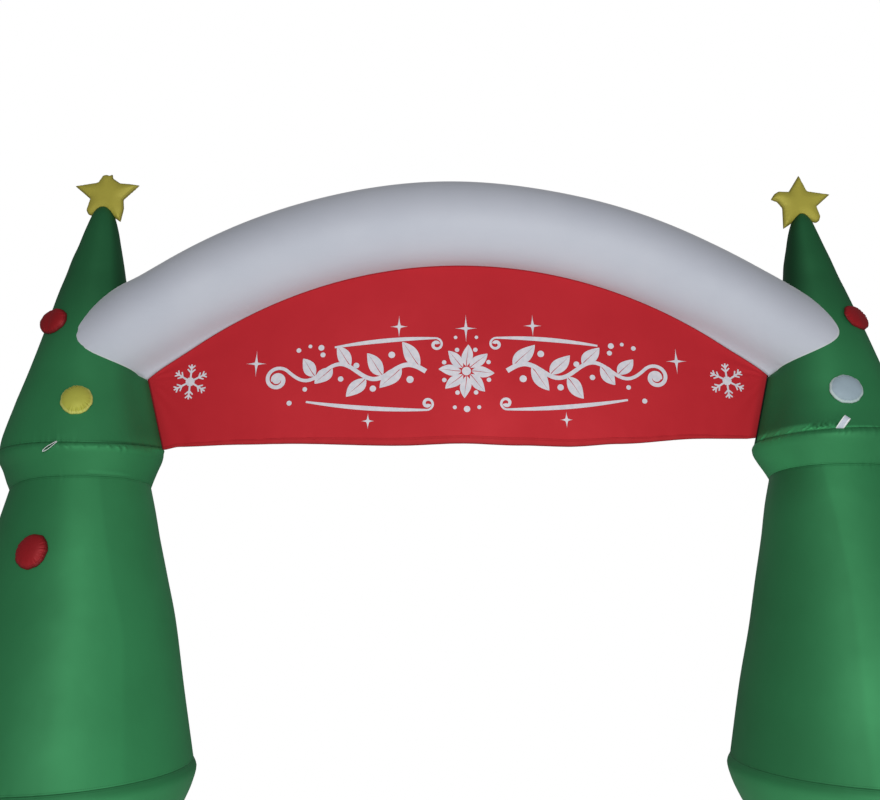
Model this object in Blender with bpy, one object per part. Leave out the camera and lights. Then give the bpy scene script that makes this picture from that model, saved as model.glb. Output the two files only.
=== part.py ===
"""Inflatable walk-through arch in metres, +Z up.

Two inflated trees of flared tiers stand left and right. A white inflated tube
springs between them and a red banner hangs below it, in the plane y = 0. The
front faces -Y. The origin is on the ground, midway between the trees.
"""

import math
from collections import namedtuple

import bmesh
import bpy
from mathutils import Matrix, Vector

# ---- driving dimensions -------------------------------------------------
SEAM_GAP = 0.0003            # kept between pieces that are sewn together
CUTTER_GROWTH = 0.0004       # how far a cutter stands off the piece it stands for

TREE_SIDES = 36
TREE_BASE_X = 1.272          # from the middle of the arch to a tree's base centre
BASE_RADIUS = 0.530          # flat panel that the tree stands on

ARCH_CENTRE_Z = 1.077        # centre of the tube's arc
ARCH_RADIUS = 1.755          # to the tube's centreline
TUBE_RADIUS = 0.160
TUBE_SIDES = 24
TUBE_STEPS = 18              # rows of the tube from its crown to the banner's corner
TUBE_END_ANGLES = (44.2, 45.2, 45.9, 46.5)  # its last rows, which round off in the trees
SPRING_ANGLE = 43.1          # degrees from the crown, where tube, banner and tree meet
KEEL_POWER = 12              # how narrow the ridge is that the banner pulls down

CLOTH = 0.0020               # the banner's thickness
HEM_CLOTH = 0.0032           # where it is folded double
HEM_HEIGHT = 0.025
BANNER_COLUMNS = 2 * TUBE_STEPS
BANNER_BILLOW = 0.007
PULL_POWER = 24              # how narrow the ridge is that the banner pulls from a tree
PULL_REACH = 0.010           # how far above the banner's corner it still pulls

STAR_HALF_DEPTH = 0.023
DISC_BULGE = 0.028
DISC_SINK = 0.003            # how deep a disc's rim lies in its tree before it is cut
DISC_SEGMENTS = 24
DISC_RINGS = 12

WEBBING_WIDTH = 0.020
WEBBING_THICKNESS = 0.0016
LOOP_HEIGHT = 0.012          # between the two legs of a tether loop
LOOP_SINK = 0.003            # how far the sewn ends go into the seam before they are cut
LOOP_STEPS = 10

# ---- tables ---------------------------------------------------------------
# A row is one level seam line round a tree: its height, the x of its centre,
# its radius, and how much higher it runs at the front than at the sides.
Row = namedtuple("Row", "height centre radius rise")

TOP_ROWS = {
    "left": (
        Row(2.006, -1.293, 0.261, -0.010),
        Row(2.042, -1.297, 0.246, -0.004),
        Row(2.112, -1.302, 0.226, 0.000),
        Row(2.182, -1.307, 0.208, 0.000),
        Row(2.253, -1.307, 0.190, 0.000),
        Row(2.399, -1.308, 0.155, 0.000),
        Row(2.560, -1.311, 0.116, 0.000),
        Row(2.625, -1.312, 0.099, 0.000),
        Row(2.749, -1.312, 0.073, 0.000),
        Row(2.812, -1.312, 0.059, 0.000),
        Row(2.868, -1.312, 0.040, 0.000),
        Row(2.897, -1.313, 0.021, 0.000),
    ),
    "right": (
        Row(2.014, 1.288, 0.252, 0.012),
        Row(2.040, 1.291, 0.242, 0.006),
        Row(2.096, 1.294, 0.225, 0.000),
        Row(2.166, 1.297, 0.204, 0.000),
        Row(2.237, 1.294, 0.187, 0.000),
        Row(2.383, 1.291, 0.150, 0.000),
        Row(2.543, 1.287, 0.111, 0.000),
        Row(2.608, 1.285, 0.093, 0.000),
        Row(2.732, 1.280, 0.064, 0.000),
        Row(2.790, 1.281, 0.049, 0.000),
        Row(2.833, 1.283, 0.030, 0.000),
        Row(2.855, 1.284, 0.014, 0.000),
    ),
}
TIP_HEIGHT = {"left": 2.906, "right": 2.862}

TOP_BAND_ROWS = {
    "left": (
        Row(1.874, -1.280, 0.224, 0.022),
        Row(1.906, -1.283, 0.230, 0.017),
        Row(1.940, -1.284, 0.242, 0.009),
        Row(1.974, -1.288, 0.257, 0.000),
        Row(1.994, -1.291, 0.261, -0.007),
        TOP_ROWS["left"][0],
    ),
    "right": (
        Row(1.896, 1.281, 0.213, 0.032),
        Row(1.930, 1.284, 0.232, 0.026),
        Row(1.964, 1.285, 0.248, 0.020),
        Row(1.993, 1.286, 0.259, 0.015),
        TOP_ROWS["right"][0],
    ),
}

MID_ROWS = {
    "left": (
        Row(1.030, -1.270, 0.418, 0.000),
        Row(1.240, -1.268, 0.369, 0.000),
        Row(1.456, -1.262, 0.319, 0.000),
        Row(1.581, -1.267, 0.290, 0.000),
        Row(1.708, -1.272, 0.261, 0.002),
        Row(1.800, -1.276, 0.242, 0.009),
        TOP_BAND_ROWS["left"][0],
    ),
    "right": (
        Row(1.030, 1.270, 0.418, 0.000),
        Row(1.240, 1.275, 0.371, 0.000),
        Row(1.441, 1.281, 0.325, 0.000),
        Row(1.566, 1.280, 0.295, 0.000),
        Row(1.693, 1.280, 0.263, 0.004),
        Row(1.810, 1.279, 0.236, 0.016),
        TOP_BAND_ROWS["right"][0],
    ),
}

# The lower tiers are alike, so their rows hold no centre.
LowRow = namedtuple("LowRow", "height radius")
MID_BAND_ROWS = (
    LowRow(0.885, 0.385),
    LowRow(0.920, 0.402),
    LowRow(0.965, 0.420),
    LowRow(1.005, 0.429),
    LowRow(1.030, 0.418),
)
LOW_ROWS = (
    LowRow(0.000, BASE_RADIUS),
    LowRow(0.018, 0.545),
    LowRow(0.060, 0.552),
    LowRow(0.160, 0.541),
    LowRow(0.350, 0.506),
    LowRow(0.600, 0.451),
    LowRow(0.810, 0.401),
    LowRow(0.885, 0.385),
)

# Sections of the tube: degrees from the crown towards +X, how far its top and
# its underside lie from the arc, and half its depth. The banner's seam is at
# TUBE_RADIUS below the arc all along.
Section = namedtuple("Section", "angle top underside half_depth")
TUBE_SECTIONS = (
    Section(-46.5, 0.165, 0.118, 0.130),
    Section(-45.2, 0.176, 0.119, 0.176),
    Section(-43.6, 0.178, 0.120, 0.185),
    Section(-38.0, 0.170, 0.126, 0.180),
    Section(-33.0, 0.166, 0.139, 0.168),
    Section(-25.0, 0.166, 0.157, 0.161),
    Section(-10.0, 0.161, 0.160, 0.160),
    Section(0.0, 0.158, 0.160, 0.160),
    Section(14.0, 0.151, 0.160, 0.157),
    Section(27.0, 0.150, 0.158, 0.157),
    Section(34.0, 0.153, 0.145, 0.161),
    Section(39.0, 0.160, 0.131, 0.176),
    Section(43.6, 0.166, 0.123, 0.181),
    Section(45.2, 0.165, 0.121, 0.174),
    Section(46.5, 0.150, 0.125, 0.125),
)

# The banner's bottom corners, and points of its hem between them.
Point = namedtuple("Point", "x z")
BANNER_CORNER = {"left": Point(-1.0165, 2.006), "right": Point(1.0280, 2.034)}
HEM_POINTS = (
    BANNER_CORNER["left"],
    Point(-0.959, 2.016),
    Point(-0.753, 2.022),
    Point(-0.581, 2.024),
    Point(-0.202, 2.015),
    Point(0.004, 2.021),
    Point(0.210, 2.013),
    Point(0.382, 2.008),
    Point(0.555, 2.017),
    Point(0.831, 2.033),
    Point(0.990, 2.032),
    BANNER_CORNER["right"],
)

# A star's outline about its centre, clockwise from the top: the angle from
# straight up in degrees, and the reach in metres.
OutlinePoint = namedtuple("OutlinePoint", "angle reach")
STAR_CENTRE = {"left": Point(-1.308, 2.953), "right": Point(1.283, 2.912)}
STAR_OUTLINES = {
    "left": (
        OutlinePoint(357, 0.086),    # top arm, its tip folded over
        OutlinePoint(8, 0.092),
        OutlinePoint(10, 0.076),
        OutlinePoint(39, 0.071),
        OutlinePoint(55, 0.094),
        OutlinePoint(68, 0.127),     # right arm
        OutlinePoint(101, 0.065),
        OutlinePoint(125, 0.084),
        OutlinePoint(149, 0.119),    # lower right arm
        OutlinePoint(180, 0.060),
        OutlinePoint(213, 0.091),    # lower left arm, curled
        OutlinePoint(221, 0.094),
        OutlinePoint(233, 0.089),
        OutlinePoint(263, 0.062),
        OutlinePoint(290, 0.131),    # left arm
        OutlinePoint(327, 0.070),
        OutlinePoint(348, 0.094),
    ),
    "right": (
        OutlinePoint(5, 0.112),      # top arm
        OutlinePoint(35, 0.057),
        OutlinePoint(74, 0.122),     # right arm
        OutlinePoint(104, 0.063),
        OutlinePoint(128, 0.090),    # lower right arm, rounded
        OutlinePoint(139, 0.097),
        OutlinePoint(148, 0.096),
        OutlinePoint(155, 0.085),
        OutlinePoint(182, 0.058),
        OutlinePoint(215, 0.128),    # lower left arm
        OutlinePoint(253, 0.070),
        OutlinePoint(272, 0.082),
        OutlinePoint(277, 0.107),    # left arm, its tip bent down
        OutlinePoint(292, 0.097),
        OutlinePoint(303, 0.086),
        OutlinePoint(322, 0.057),
    ),
}
STAR_RINGS = (1.0, 0.90, 0.68, 0.38)  # rings from the seam to the middle

# Puffy discs: the tree, the panel they are sewn on, their height, the angle
# from straight ahead towards +X, and their width.
Disc = namedtuple("Disc", "name side panel height azimuth width material")
DISCS = (
    Disc("left_bauble_red_high", "left", "tier_top", 2.434, -31.0, 0.112, "red cloth"),
    Disc("left_bauble_yellow", "left", "tier_top", 2.137, 15.5, 0.114, "yellow cloth"),
    Disc("left_bauble_red_low", "left", "tier_mid", 1.664, -4.0, 0.114, "red cloth"),
    Disc("right_bauble_red", "right", "tier_top", 2.426, 34.0, 0.106, "red cloth"),
    Disc("right_bauble_white", "right", "tier_top", 2.161, -11.0, 0.112, "white cloth"),
)

# Tether loops on the upper flare seam: their angle from straight ahead, the
# turn of their length from straight up the cloth towards +X, how far they lean
# off the cloth, their length, and whether the webbing stands on its edge.
Tether = namedtuple("Tether", "name side azimuth turn lean length on_edge")
TETHERS = (
    Tether("left_tether_loop", "left", 5.0, -132.0, 8.0, 0.048, True),
    Tether("right_tether_loop", "right", -20.0, 38.0, 16.0, 0.052, False),
)

COLOURS = {
    "green cloth": ((0.035, 0.185, 0.075), 0.62),
    "white cloth": ((0.52, 0.53, 0.58), 0.60),
    "red cloth": ((0.42, 0.020, 0.028), 0.62),
    "yellow cloth": ((0.45, 0.38, 0.065), 0.60),
    "webbing": ((0.62, 0.63, 0.66), 0.80),
}


# ---- helpers ----------------------------------------------------------------
def clear_scene():
    for obj in list(bpy.data.objects):
        bpy.data.objects.remove(obj)


def make_materials():
    made = {}
    for name, (colour, roughness) in COLOURS.items():
        material = bpy.data.materials.new(name)
        material.use_nodes = True
        shader = material.node_tree.nodes["Principled BSDF"]
        shader.inputs["Base Color"].default_value = (*colour, 1.0)
        shader.inputs["Roughness"].default_value = roughness
        shader.inputs["Metallic"].default_value = 0.0
        made[name] = material
    return made


def add_object(name, bm, material):
    bmesh.ops.recalc_face_normals(bm, faces=bm.faces)
    mesh = bpy.data.meshes.new(name)
    bm.to_mesh(mesh)
    bm.free()
    mesh.shade_smooth()
    mesh.set_sharp_from_angle(angle=math.radians(40))
    if material:
        mesh.materials.append(material)
    obj = bpy.data.objects.new(name, mesh)
    bpy.context.scene.collection.objects.link(obj)
    return obj


def hide_as_cutter(obj):
    obj.hide_render = True
    obj.display_type = "WIRE"


def cut(obj, cutter):
    boolean = obj.modifiers.new("cut by " + cutter.name, "BOOLEAN")
    boolean.operation = "DIFFERENCE"
    boolean.solver = "EXACT"
    boolean.object = cutter


def blend(low, high, value):
    """0 below low, 1 above high, and a smooth step between."""
    t = min(1.0, max(0.0, (value - low) / (high - low)))
    return t * t * (3.0 - 2.0 * t)


def between(rows, height, column):
    """A column of a table of rows that rise in height, read at any height."""
    for low, high in zip(rows, rows[1:]):
        if low.height <= height <= high.height:
            share = (height - low.height) / (high.height - low.height)
            return getattr(low, column) * (1 - share) + getattr(high, column) * share
    raise ValueError(f"no row at {height}")


def bridge(bm, rings):
    """Joins closed rings of vertices, one after another, with triangles.

    A piece and its cutter are split along the same diagonals.
    """
    for ring, following in zip(rings, rings[1:]):
        for k in range(len(ring)):
            after = (k + 1) % len(ring)
            bm.faces.new((ring[k], ring[after], following[after]))
            bm.faces.new((ring[k], following[after], following[k]))


# ---- trees ------------------------------------------------------------------
def inward(side):
    """Direction from a tree towards the middle of the arch."""
    return 1.0 if side == "left" else -1.0


def spring_point(side):
    """Where the tube's lower seam meets the tree: the banner's top corner."""
    reach = ARCH_RADIUS - TUBE_RADIUS
    angle = math.radians(SPRING_ANGLE)
    return Point(-inward(side) * reach * math.sin(angle), ARCH_CENTRE_Z + reach * math.cos(angle))


def banner_side_x(side, height):
    """x of the banner's side edge at a height."""
    top = spring_point(side)
    bottom = BANNER_CORNER[side]
    return bottom.x + (top.x - bottom.x) * (height - bottom.z) / (top.z - bottom.z)


def pull_at(side, row):
    """How far the banner draws the tree's cloth towards the arch at a row."""
    if not TOP_ROWS[side][0].height <= row.height < spring_point(side).z + PULL_REACH:
        return 0.0
    round_edge = row.centre + inward(side) * row.radius
    return max(0.0, inward(side) * (banner_side_x(side, row.height) - round_edge) - SEAM_GAP)


def tree_ring(side, row, grow=0.0):
    """Points of one row, counter-clockwise seen from above, starting at +X."""
    points = []
    pull = pull_at(side, row)
    for k in range(TREE_SIDES):
        angle = 2.0 * math.pi * k / TREE_SIDES
        towards_arch = max(0.0, inward(side) * math.cos(angle))
        radius = row.radius + pull * towards_arch**PULL_POWER + grow
        front = -math.sin(angle)
        points.append(
            Vector(
                (
                    row.centre + radius * math.cos(angle),
                    radius * math.sin(angle),
                    row.height + row.rise * front,
                )
            )
        )
    return points


def lathe(side, rows, tip=None, grow=0.0, drop=0.0):
    """A closed body over rows that rise in height, with flat ends or a tip."""
    bm = bmesh.new()
    rings = []
    for place, row in enumerate(rows):
        points = tree_ring(side, row, grow)
        if place == 0:
            points = [point - Vector((0, 0, drop)) for point in points]
        rings.append([bm.verts.new(point) for point in points])
    bridge(bm, rings)
    bm.faces.new(list(reversed(rings[0])))
    if tip is None:
        bm.faces.new(rings[-1])
    else:
        point = bm.verts.new((rows[-1].centre, 0.0, tip + grow))
        for k, corner in enumerate(rings[-1]):
            bm.faces.new((corner, rings[-1][(k + 1) % TREE_SIDES], point))
    return bm


def low_rows(side, rows):
    """The lower tiers' rows about a tree's base centre."""
    centre = -inward(side) * TREE_BASE_X
    return tuple(Row(row.height, centre, row.radius, 0.0) for row in rows)


def panel_rows(side):
    """The five panels of a tree, each with its rows from the lowest."""
    mid_band = low_rows(side, MID_BAND_ROWS)
    mid = (mid_band[-1], *MID_ROWS[side][1:])
    return {
        "tier_low": low_rows(side, LOW_ROWS),
        "band_mid": mid_band,
        "tier_mid": mid,
        "band_top": TOP_BAND_ROWS[side],
        "tier_top": TOP_ROWS[side],
    }


def lifted(rows, lift):
    """The same rows with the lowest raised, to part it from the panel below."""
    first = rows[0]
    return (first._replace(height=first.height + lift), *rows[1:])


def make_tree(side, materials):
    """Makes a tree's panels, and returns cutters that stand for them."""
    cutters = {}
    for panel, rows in panel_rows(side).items():
        tip = TIP_HEIGHT[side] if panel == "tier_top" else None
        solid_rows = rows if panel == "tier_low" else lifted(rows, SEAM_GAP)
        body = lathe(side, solid_rows, tip=tip)
        add_object(f"{side}_{panel}", body, materials["green cloth"])
        if panel in ("tier_top", "band_top", "tier_mid"):
            grown = lathe(side, rows, tip=tip, grow=CUTTER_GROWTH)
            cutters[panel] = add_object(f"{side} {panel} cutter", grown, None)
            hide_as_cutter(cutters[panel])
    return cutters


# ---- tube and banner --------------------------------------------------------
def arc_point(angle, radius, y):
    """A point at an angle from the crown, in degrees, towards +X."""
    turn = math.radians(angle)
    return Vector((radius * math.sin(turn), y, ARCH_CENTRE_Z + radius * math.cos(turn)))


def tube_section(angle):
    """Top, underside and half depth of the tube at an angle from the crown."""
    for start, end in zip(TUBE_SECTIONS, TUBE_SECTIONS[1:]):
        if start.angle <= angle <= end.angle:
            share = (angle - start.angle) / (end.angle - start.angle)
            return Section(*(a + (b - a) * share for a, b in zip(start, end)))
    raise ValueError(f"the tube has no section at {angle} degrees")


def tube_ring(angle):
    """Points round the tube, the first on the seam that holds the banner."""
    section = tube_section(angle)
    lift = (section.top - section.underside) / 2.0
    half_height = (section.top + section.underside) / 2.0
    keel = TUBE_RADIUS - section.underside
    points = []
    for k in range(TUBE_SIDES):
        turn = 2.0 * math.pi * k / TUBE_SIDES
        down = max(0.0, math.cos(turn))
        offset = lift - half_height * math.cos(turn) - keel * down**KEEL_POWER
        y = -section.half_depth * math.sin(turn)
        points.append(arc_point(angle, ARCH_RADIUS + offset, y))
    return points


def tube_angles():
    """Angles of the tube's rows: even up to the trees, and its ends in them."""
    step = SPRING_ANGLE / TUBE_STEPS
    inner = [step * k for k in range(-TUBE_STEPS, TUBE_STEPS + 1)]
    left_end = [-angle for angle in reversed(TUBE_END_ANGLES)]
    return [*left_end, *inner, *TUBE_END_ANGLES]


def make_tube(materials, cutters):
    bm = bmesh.new()
    rings = [[bm.verts.new(point) for point in tube_ring(angle)] for angle in tube_angles()]
    bridge(bm, rings)
    bm.faces.new(rings[0])
    bm.faces.new(list(reversed(rings[-1])))
    tube = add_object("arch_tube", bm, materials["white cloth"])
    for side in ("left", "right"):
        cut(tube, cutters[side]["tier_top"])


def hem_z(x):
    """Height of the banner's lower edge, eased from point to point."""
    for start, end in zip(HEM_POINTS, HEM_POINTS[1:]):
        if start.x <= x <= end.x:
            return start.z + (end.z - start.z) * blend(start.x, end.x, x)
    raise ValueError(f"the banner has no edge at {x}")


def banner_column(share):
    """Lowest and highest point of the banner, from 0 at the left to 1."""
    left = BANNER_CORNER["left"].x
    x = min(left + (BANNER_CORNER["right"].x - left) * share, BANNER_CORNER["right"].x)
    bottom = Vector((x, 0.0, hem_z(x)))
    angle = SPRING_ANGLE * (2.0 * share - 1.0)
    top = arc_point(angle, ARCH_RADIUS - TUBE_RADIUS - 2.0 * SEAM_GAP, 0.0)
    return bottom, top


def billow(share, rise):
    """How far the cloth stands forward, none at its sewn edges."""
    sewn = math.sin(math.pi * share) ** 0.5 * (1.0 - rise**2)
    return -BANNER_BILLOW * sewn * (0.55 + 0.45 * math.sin(7.0 * share * math.pi + 1.1))


def make_banner(materials):
    bm = bmesh.new()
    columns = []
    for column in range(BANNER_COLUMNS + 1):
        share = column / BANNER_COLUMNS
        bottom, top = banner_column(share)
        hem_share = HEM_HEIGHT / (top - bottom).length
        levels = [0.0, hem_share, hem_share + (1 - hem_share) / 3, hem_share + (1 - hem_share) / 1.5, 1.0]
        front = []
        back = []
        for level in levels:
            point = bottom.lerp(top, level)
            middle = billow(share, level)
            half = (HEM_CLOTH if level < hem_share else CLOTH) / 2.0
            front.append(bm.verts.new(point + Vector((0.0, middle - half, 0.0))))
            back.append(bm.verts.new(point + Vector((0.0, middle + half, 0.0))))
        columns.append(front + list(reversed(back)))
    bridge(bm, columns)
    bm.faces.new(columns[0])
    bm.faces.new(list(reversed(columns[-1])))
    add_object("banner", bm, materials["red cloth"])


# ---- small pieces -----------------------------------------------------------
def star_outline(side):
    """The outline's points and the points midway between them."""
    corners = []
    for point in STAR_OUTLINES[side]:
        turn = math.radians(point.angle)
        corners.append(Vector((math.sin(turn), 0.0, math.cos(turn))) * point.reach)
    outline = []
    for k, corner in enumerate(corners):
        outline.append(corner)
        outline.append(corner.lerp(corners[(k + 1) % len(corners)], 0.5))
    return outline


def make_star(side, materials, cutter):
    """A five-armed pillow, thin at its seam and hollowed for the cone's tip."""
    bm = bmesh.new()
    centre = Vector((STAR_CENTRE[side].x, 0.0, STAR_CENTRE[side].z))
    outline = star_outline(side)
    seam = [bm.verts.new(centre + point) for point in outline]
    for forward in (-1.0, 1.0):
        rings = [seam]
        for scale in STAR_RINGS[1:]:
            depth = Vector((0.0, forward * STAR_HALF_DEPTH * math.sqrt(1.0 - scale**2), 0.0))
            rings.append([bm.verts.new(centre + point * scale + depth) for point in outline])
        bridge(bm, rings)
        pole = bm.verts.new(centre + Vector((0.0, forward * STAR_HALF_DEPTH, 0.0)))
        for k, corner in enumerate(rings[-1]):
            bm.faces.new((corner, rings[-1][(k + 1) % len(outline)], pole))
    star = add_object(f"{side}_star", bm, materials["yellow cloth"])
    cut(star, cutter)


def surface_frame(side, panel, height, azimuth):
    """A point on a tree's cloth, and its directions across, up and outward."""
    rows = panel_rows(side)[panel]
    step = 0.01
    near = min(height + step, rows[-1].height)
    far = max(near - 2.0 * step, rows[0].height)
    slope = (between(rows, near, "radius") - between(rows, far, "radius")) / (near - far)
    turn = math.radians(azimuth)
    ahead = Vector((math.sin(turn), -math.cos(turn), 0.0))
    across = Vector((math.cos(turn), math.sin(turn), 0.0))
    up = (Vector((0.0, 0.0, 1.0)) + ahead * slope).normalized()
    outward = across.cross(up).normalized()
    centre = Vector((between(rows, height, "centre"), 0.0, height))
    centre.z += between(rows, height, "rise") * math.cos(turn)
    return centre + ahead * between(rows, height, "radius"), across, up, outward


def make_disc(disc, materials, cutters):
    """A puffy disc whose rim follows the tree's round cloth."""
    point, across, up, outward = surface_frame(disc.side, disc.panel, disc.height, disc.azimuth)
    turn = Matrix((across, up, outward)).transposed().to_4x4()
    place = Matrix.Translation(point - outward * DISC_SINK) @ turn
    size = Matrix.Diagonal((disc.width / 2.0, disc.width / 2.0, DISC_BULGE + DISC_SINK, 1.0))
    bm = bmesh.new()
    bmesh.ops.create_uvsphere(
        bm, u_segments=DISC_SEGMENTS, v_segments=DISC_RINGS, radius=1.0, matrix=place @ size
    )
    made = add_object(disc.name, bm, materials[disc.material])
    cut(made, cutters[disc.side][disc.panel])


def make_tether(tether, materials, cutters):
    """A loop of webbing whose two ends meet in the flare seam."""
    height = TOP_ROWS[tether.side][0].height
    root, across, up, outward = surface_frame(tether.side, "tier_top", height, tether.azimuth)
    turn = math.radians(tether.turn)
    lean = math.radians(tether.lean)
    flat = across * math.sin(turn) + up * math.cos(turn)
    along = flat * math.cos(lean) + outward * math.sin(lean)
    beside = outward.cross(flat)
    if tether.on_edge:
        open_way = beside
        wide_way = along.cross(open_way)
        standoff = WEBBING_WIDTH / 2.0
        sink = LOOP_SINK
    else:
        wide_way = beside
        open_way = wide_way.cross(along)
        standoff = LOOP_HEIGHT / 4.0
        sink = standoff + LOOP_SINK
    bm = bmesh.new()
    rings = []
    for k in range(2 * LOOP_STEPS + 1):
        way = k / LOOP_STEPS - 1.0
        reach = 1.0 - abs(way) ** 1.6
        spread = LOOP_HEIGHT / 2.0 * math.sin(math.pi * way) * (1.0 + 0.25 * (1.0 - abs(way)))
        spread += way * (WEBBING_THICKNESS / 2.0 + SEAM_GAP)
        centre = root + along * (tether.length * reach) + open_way * spread
        rings.append(centre + outward * (standoff - sink * abs(way) ** 4))
    sections = []
    for k, centre in enumerate(rings):
        before = rings[max(k - 1, 0)]
        after = rings[min(k + 1, len(rings) - 1)]
        heading = (after - before).normalized()
        normal = heading.cross(wide_way).normalized() * (WEBBING_THICKNESS / 2.0)
        half = wide_way * (WEBBING_WIDTH / 2.0)
        corners = (centre + normal + half, centre + normal - half)
        corners += (centre - normal - half, centre - normal + half)
        sections.append([bm.verts.new(corner) for corner in corners])
    bridge(bm, sections)
    bm.faces.new(sections[0])
    bm.faces.new(list(reversed(sections[-1])))
    made = add_object(tether.name, bm, materials["webbing"])
    for panel in ("tier_top", "band_top"):
        cut(made, cutters[tether.side][panel])


def main():
    clear_scene()
    materials = make_materials()
    cutters = {side: make_tree(side, materials) for side in ("left", "right")}
    make_tube(materials, cutters)
    make_banner(materials)
    for side in ("left", "right"):
        make_star(side, materials, cutters[side]["tier_top"])
    for disc in DISCS:
        make_disc(disc, materials, cutters)
    for tether in TETHERS:
        make_tether(tether, materials, cutters)


main()
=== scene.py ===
"""Looks of the inflatable arch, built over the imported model. Metres, +Z up.

The front faces -Y. Every cloth panel is its own mesh, fine enough for seams and
puckers, and takes the place of the plain solid of the same panel.
"""

import math
from collections import namedtuple
import bmesh
import bpy
import numpy as np
from mathutils import Matrix, Vector
from mathutils.geometry import delaunay_2d_cdt


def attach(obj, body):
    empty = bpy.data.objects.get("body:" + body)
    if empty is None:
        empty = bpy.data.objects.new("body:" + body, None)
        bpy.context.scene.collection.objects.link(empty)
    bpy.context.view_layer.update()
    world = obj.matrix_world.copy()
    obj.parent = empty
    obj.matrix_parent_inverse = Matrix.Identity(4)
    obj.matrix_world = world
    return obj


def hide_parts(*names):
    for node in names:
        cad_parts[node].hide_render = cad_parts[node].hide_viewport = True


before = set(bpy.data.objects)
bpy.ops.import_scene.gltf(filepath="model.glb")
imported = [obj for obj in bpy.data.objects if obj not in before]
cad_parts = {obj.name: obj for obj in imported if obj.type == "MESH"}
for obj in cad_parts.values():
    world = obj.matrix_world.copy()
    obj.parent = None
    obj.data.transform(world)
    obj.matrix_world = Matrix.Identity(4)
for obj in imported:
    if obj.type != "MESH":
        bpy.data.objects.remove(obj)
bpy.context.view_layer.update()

# ---- dimensions: the part's own, some of them refined for the finer meshes ---
SEAM_GAP = 0.0003
TREE_BASE_X = 1.272
ARCH_CENTRE_Z = 1.077
ARCH_RADIUS = 1.755
TUBE_RADIUS = 0.160
SPRING_ANGLE = 42.9          # degrees from the crown to the banner's upper corners
TUBE_LAST_ANGLE = 46.5
KEEL_LIFT = 0.010            # of the tube's underside, where it meets the trees
KEEL_LIFT_START = 36.0       # degrees from the crown
SIDE_SAG = 0.004             # how low the tube's sides hang where they meet the trees
CLOTH = 0.0014
HEM_CLOTH = 0.0030
HEM_HEIGHT = 0.018
BANNER_BILLOW = 0.007
WEBBING_WIDTH = 0.020
WEBBING_THICKNESS = 0.0016
LOOP_SINK = 0.003

# One level seam line round a tree, and how much higher it runs at the front.
Row = namedtuple("Row", "height centre radius rise", defaults=(0.0,))
Point = namedtuple("Point", "x z")

TOP_ROWS = {
    "left": (
        Row(2.009, -1.293, 0.257, -0.010),
        Row(2.042, -1.299, 0.2485, -0.004),
        Row(2.112, -1.3035, 0.2275),
        Row(2.182, -1.307, 0.208),
        Row(2.253, -1.307, 0.190),
        Row(2.399, -1.308, 0.156),
        Row(2.560, -1.311, 0.1203),
        Row(2.625, -1.312, 0.1033),
        Row(2.687, -1.312, 0.0898),
        Row(2.749, -1.3105, 0.0737),
        Row(2.812, -1.3105, 0.0586),
        Row(2.868, -1.3115, 0.042),
        Row(2.8805, -1.312, 0.0372),
        Row(2.897, -1.3125, 0.0268),
        Row(2.908, -1.313, 0.015),
        Row(2.9135, -1.313, 0.0),
    ),
    "right": (
        Row(2.016, 1.288, 0.2555, 0.014),
        Row(2.036, 1.290, 0.248, 0.009),
        Row(2.056, 1.292, 0.2405, 0.005),
        Row(2.096, 1.294, 0.2255),
        Row(2.166, 1.297, 0.204),
        Row(2.237, 1.294, 0.187),
        Row(2.383, 1.292, 0.151),
        Row(2.543, 1.287, 0.111),
        Row(2.608, 1.285, 0.0935),
        Row(2.670, 1.2815, 0.0807),
        Row(2.732, 1.280, 0.0645),
        Row(2.790, 1.279, 0.0495),
        Row(2.835, 1.2805, 0.0345),
        Row(2.856, 1.2815, 0.0205),
        Row(2.866, 1.282, 0.010),
        Row(2.870, 1.282, 0.0),
    ),
}
TOP_BAND_ROWS = {
    "left": (
        Row(1.874, -1.280, 0.222, 0.022),
        Row(1.906, -1.283, 0.2335, 0.017),
        Row(1.940, -1.284, 0.2455, 0.009),
        Row(1.972, -1.287, 0.259),
        Row(1.991, -1.290, 0.2635, -0.006),
        Row(2.002, -1.292, 0.2615, -0.009),
        TOP_ROWS["left"][0],
    ),
    "right": (
        Row(1.896, 1.281, 0.213, 0.025),
        Row(1.930, 1.284, 0.232, 0.022),
        Row(1.964, 1.285, 0.252, 0.018),
        Row(1.986, 1.286, 0.2625, 0.014),
        Row(2.002, 1.287, 0.2645, 0.012),
        Row(2.011, 1.288, 0.2605, 0.012),
        TOP_ROWS["right"][0],
    ),
}
MID_ROWS = {
    "left": (
        Row(1.030, -1.272, 0.418),
        Row(1.240, -1.268, 0.369),
        Row(1.456, -1.262, 0.319),
        Row(1.581, -1.267, 0.290),
        Row(1.708, -1.272, 0.260, 0.002),
        Row(1.800, -1.276, 0.2395, 0.009),
        TOP_BAND_ROWS["left"][0],
    ),
    "right": (
        Row(1.030, 1.272, 0.418),
        Row(1.240, 1.275, 0.371),
        Row(1.441, 1.282, 0.323),
        Row(1.566, 1.281, 0.293),
        Row(1.693, 1.280, 0.2615, 0.004),
        Row(1.810, 1.279, 0.235, 0.014),
        TOP_BAND_ROWS["right"][0],
    ),
}
# The lower panels are alike on both trees: a height and a radius.
MID_BAND_ROWS = ((0.885, 0.385), (0.920, 0.402), (0.965, 0.420), (1.005, 0.429), (1.030, 0.418))
LOW_ROWS = (
    (0.000, 0.530),
    (0.018, 0.545),
    (0.060, 0.552),
    (0.160, 0.541),
    (0.350, 0.506),
    (0.600, 0.451),
    (0.810, 0.401),
    MID_BAND_ROWS[0],
)
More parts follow.
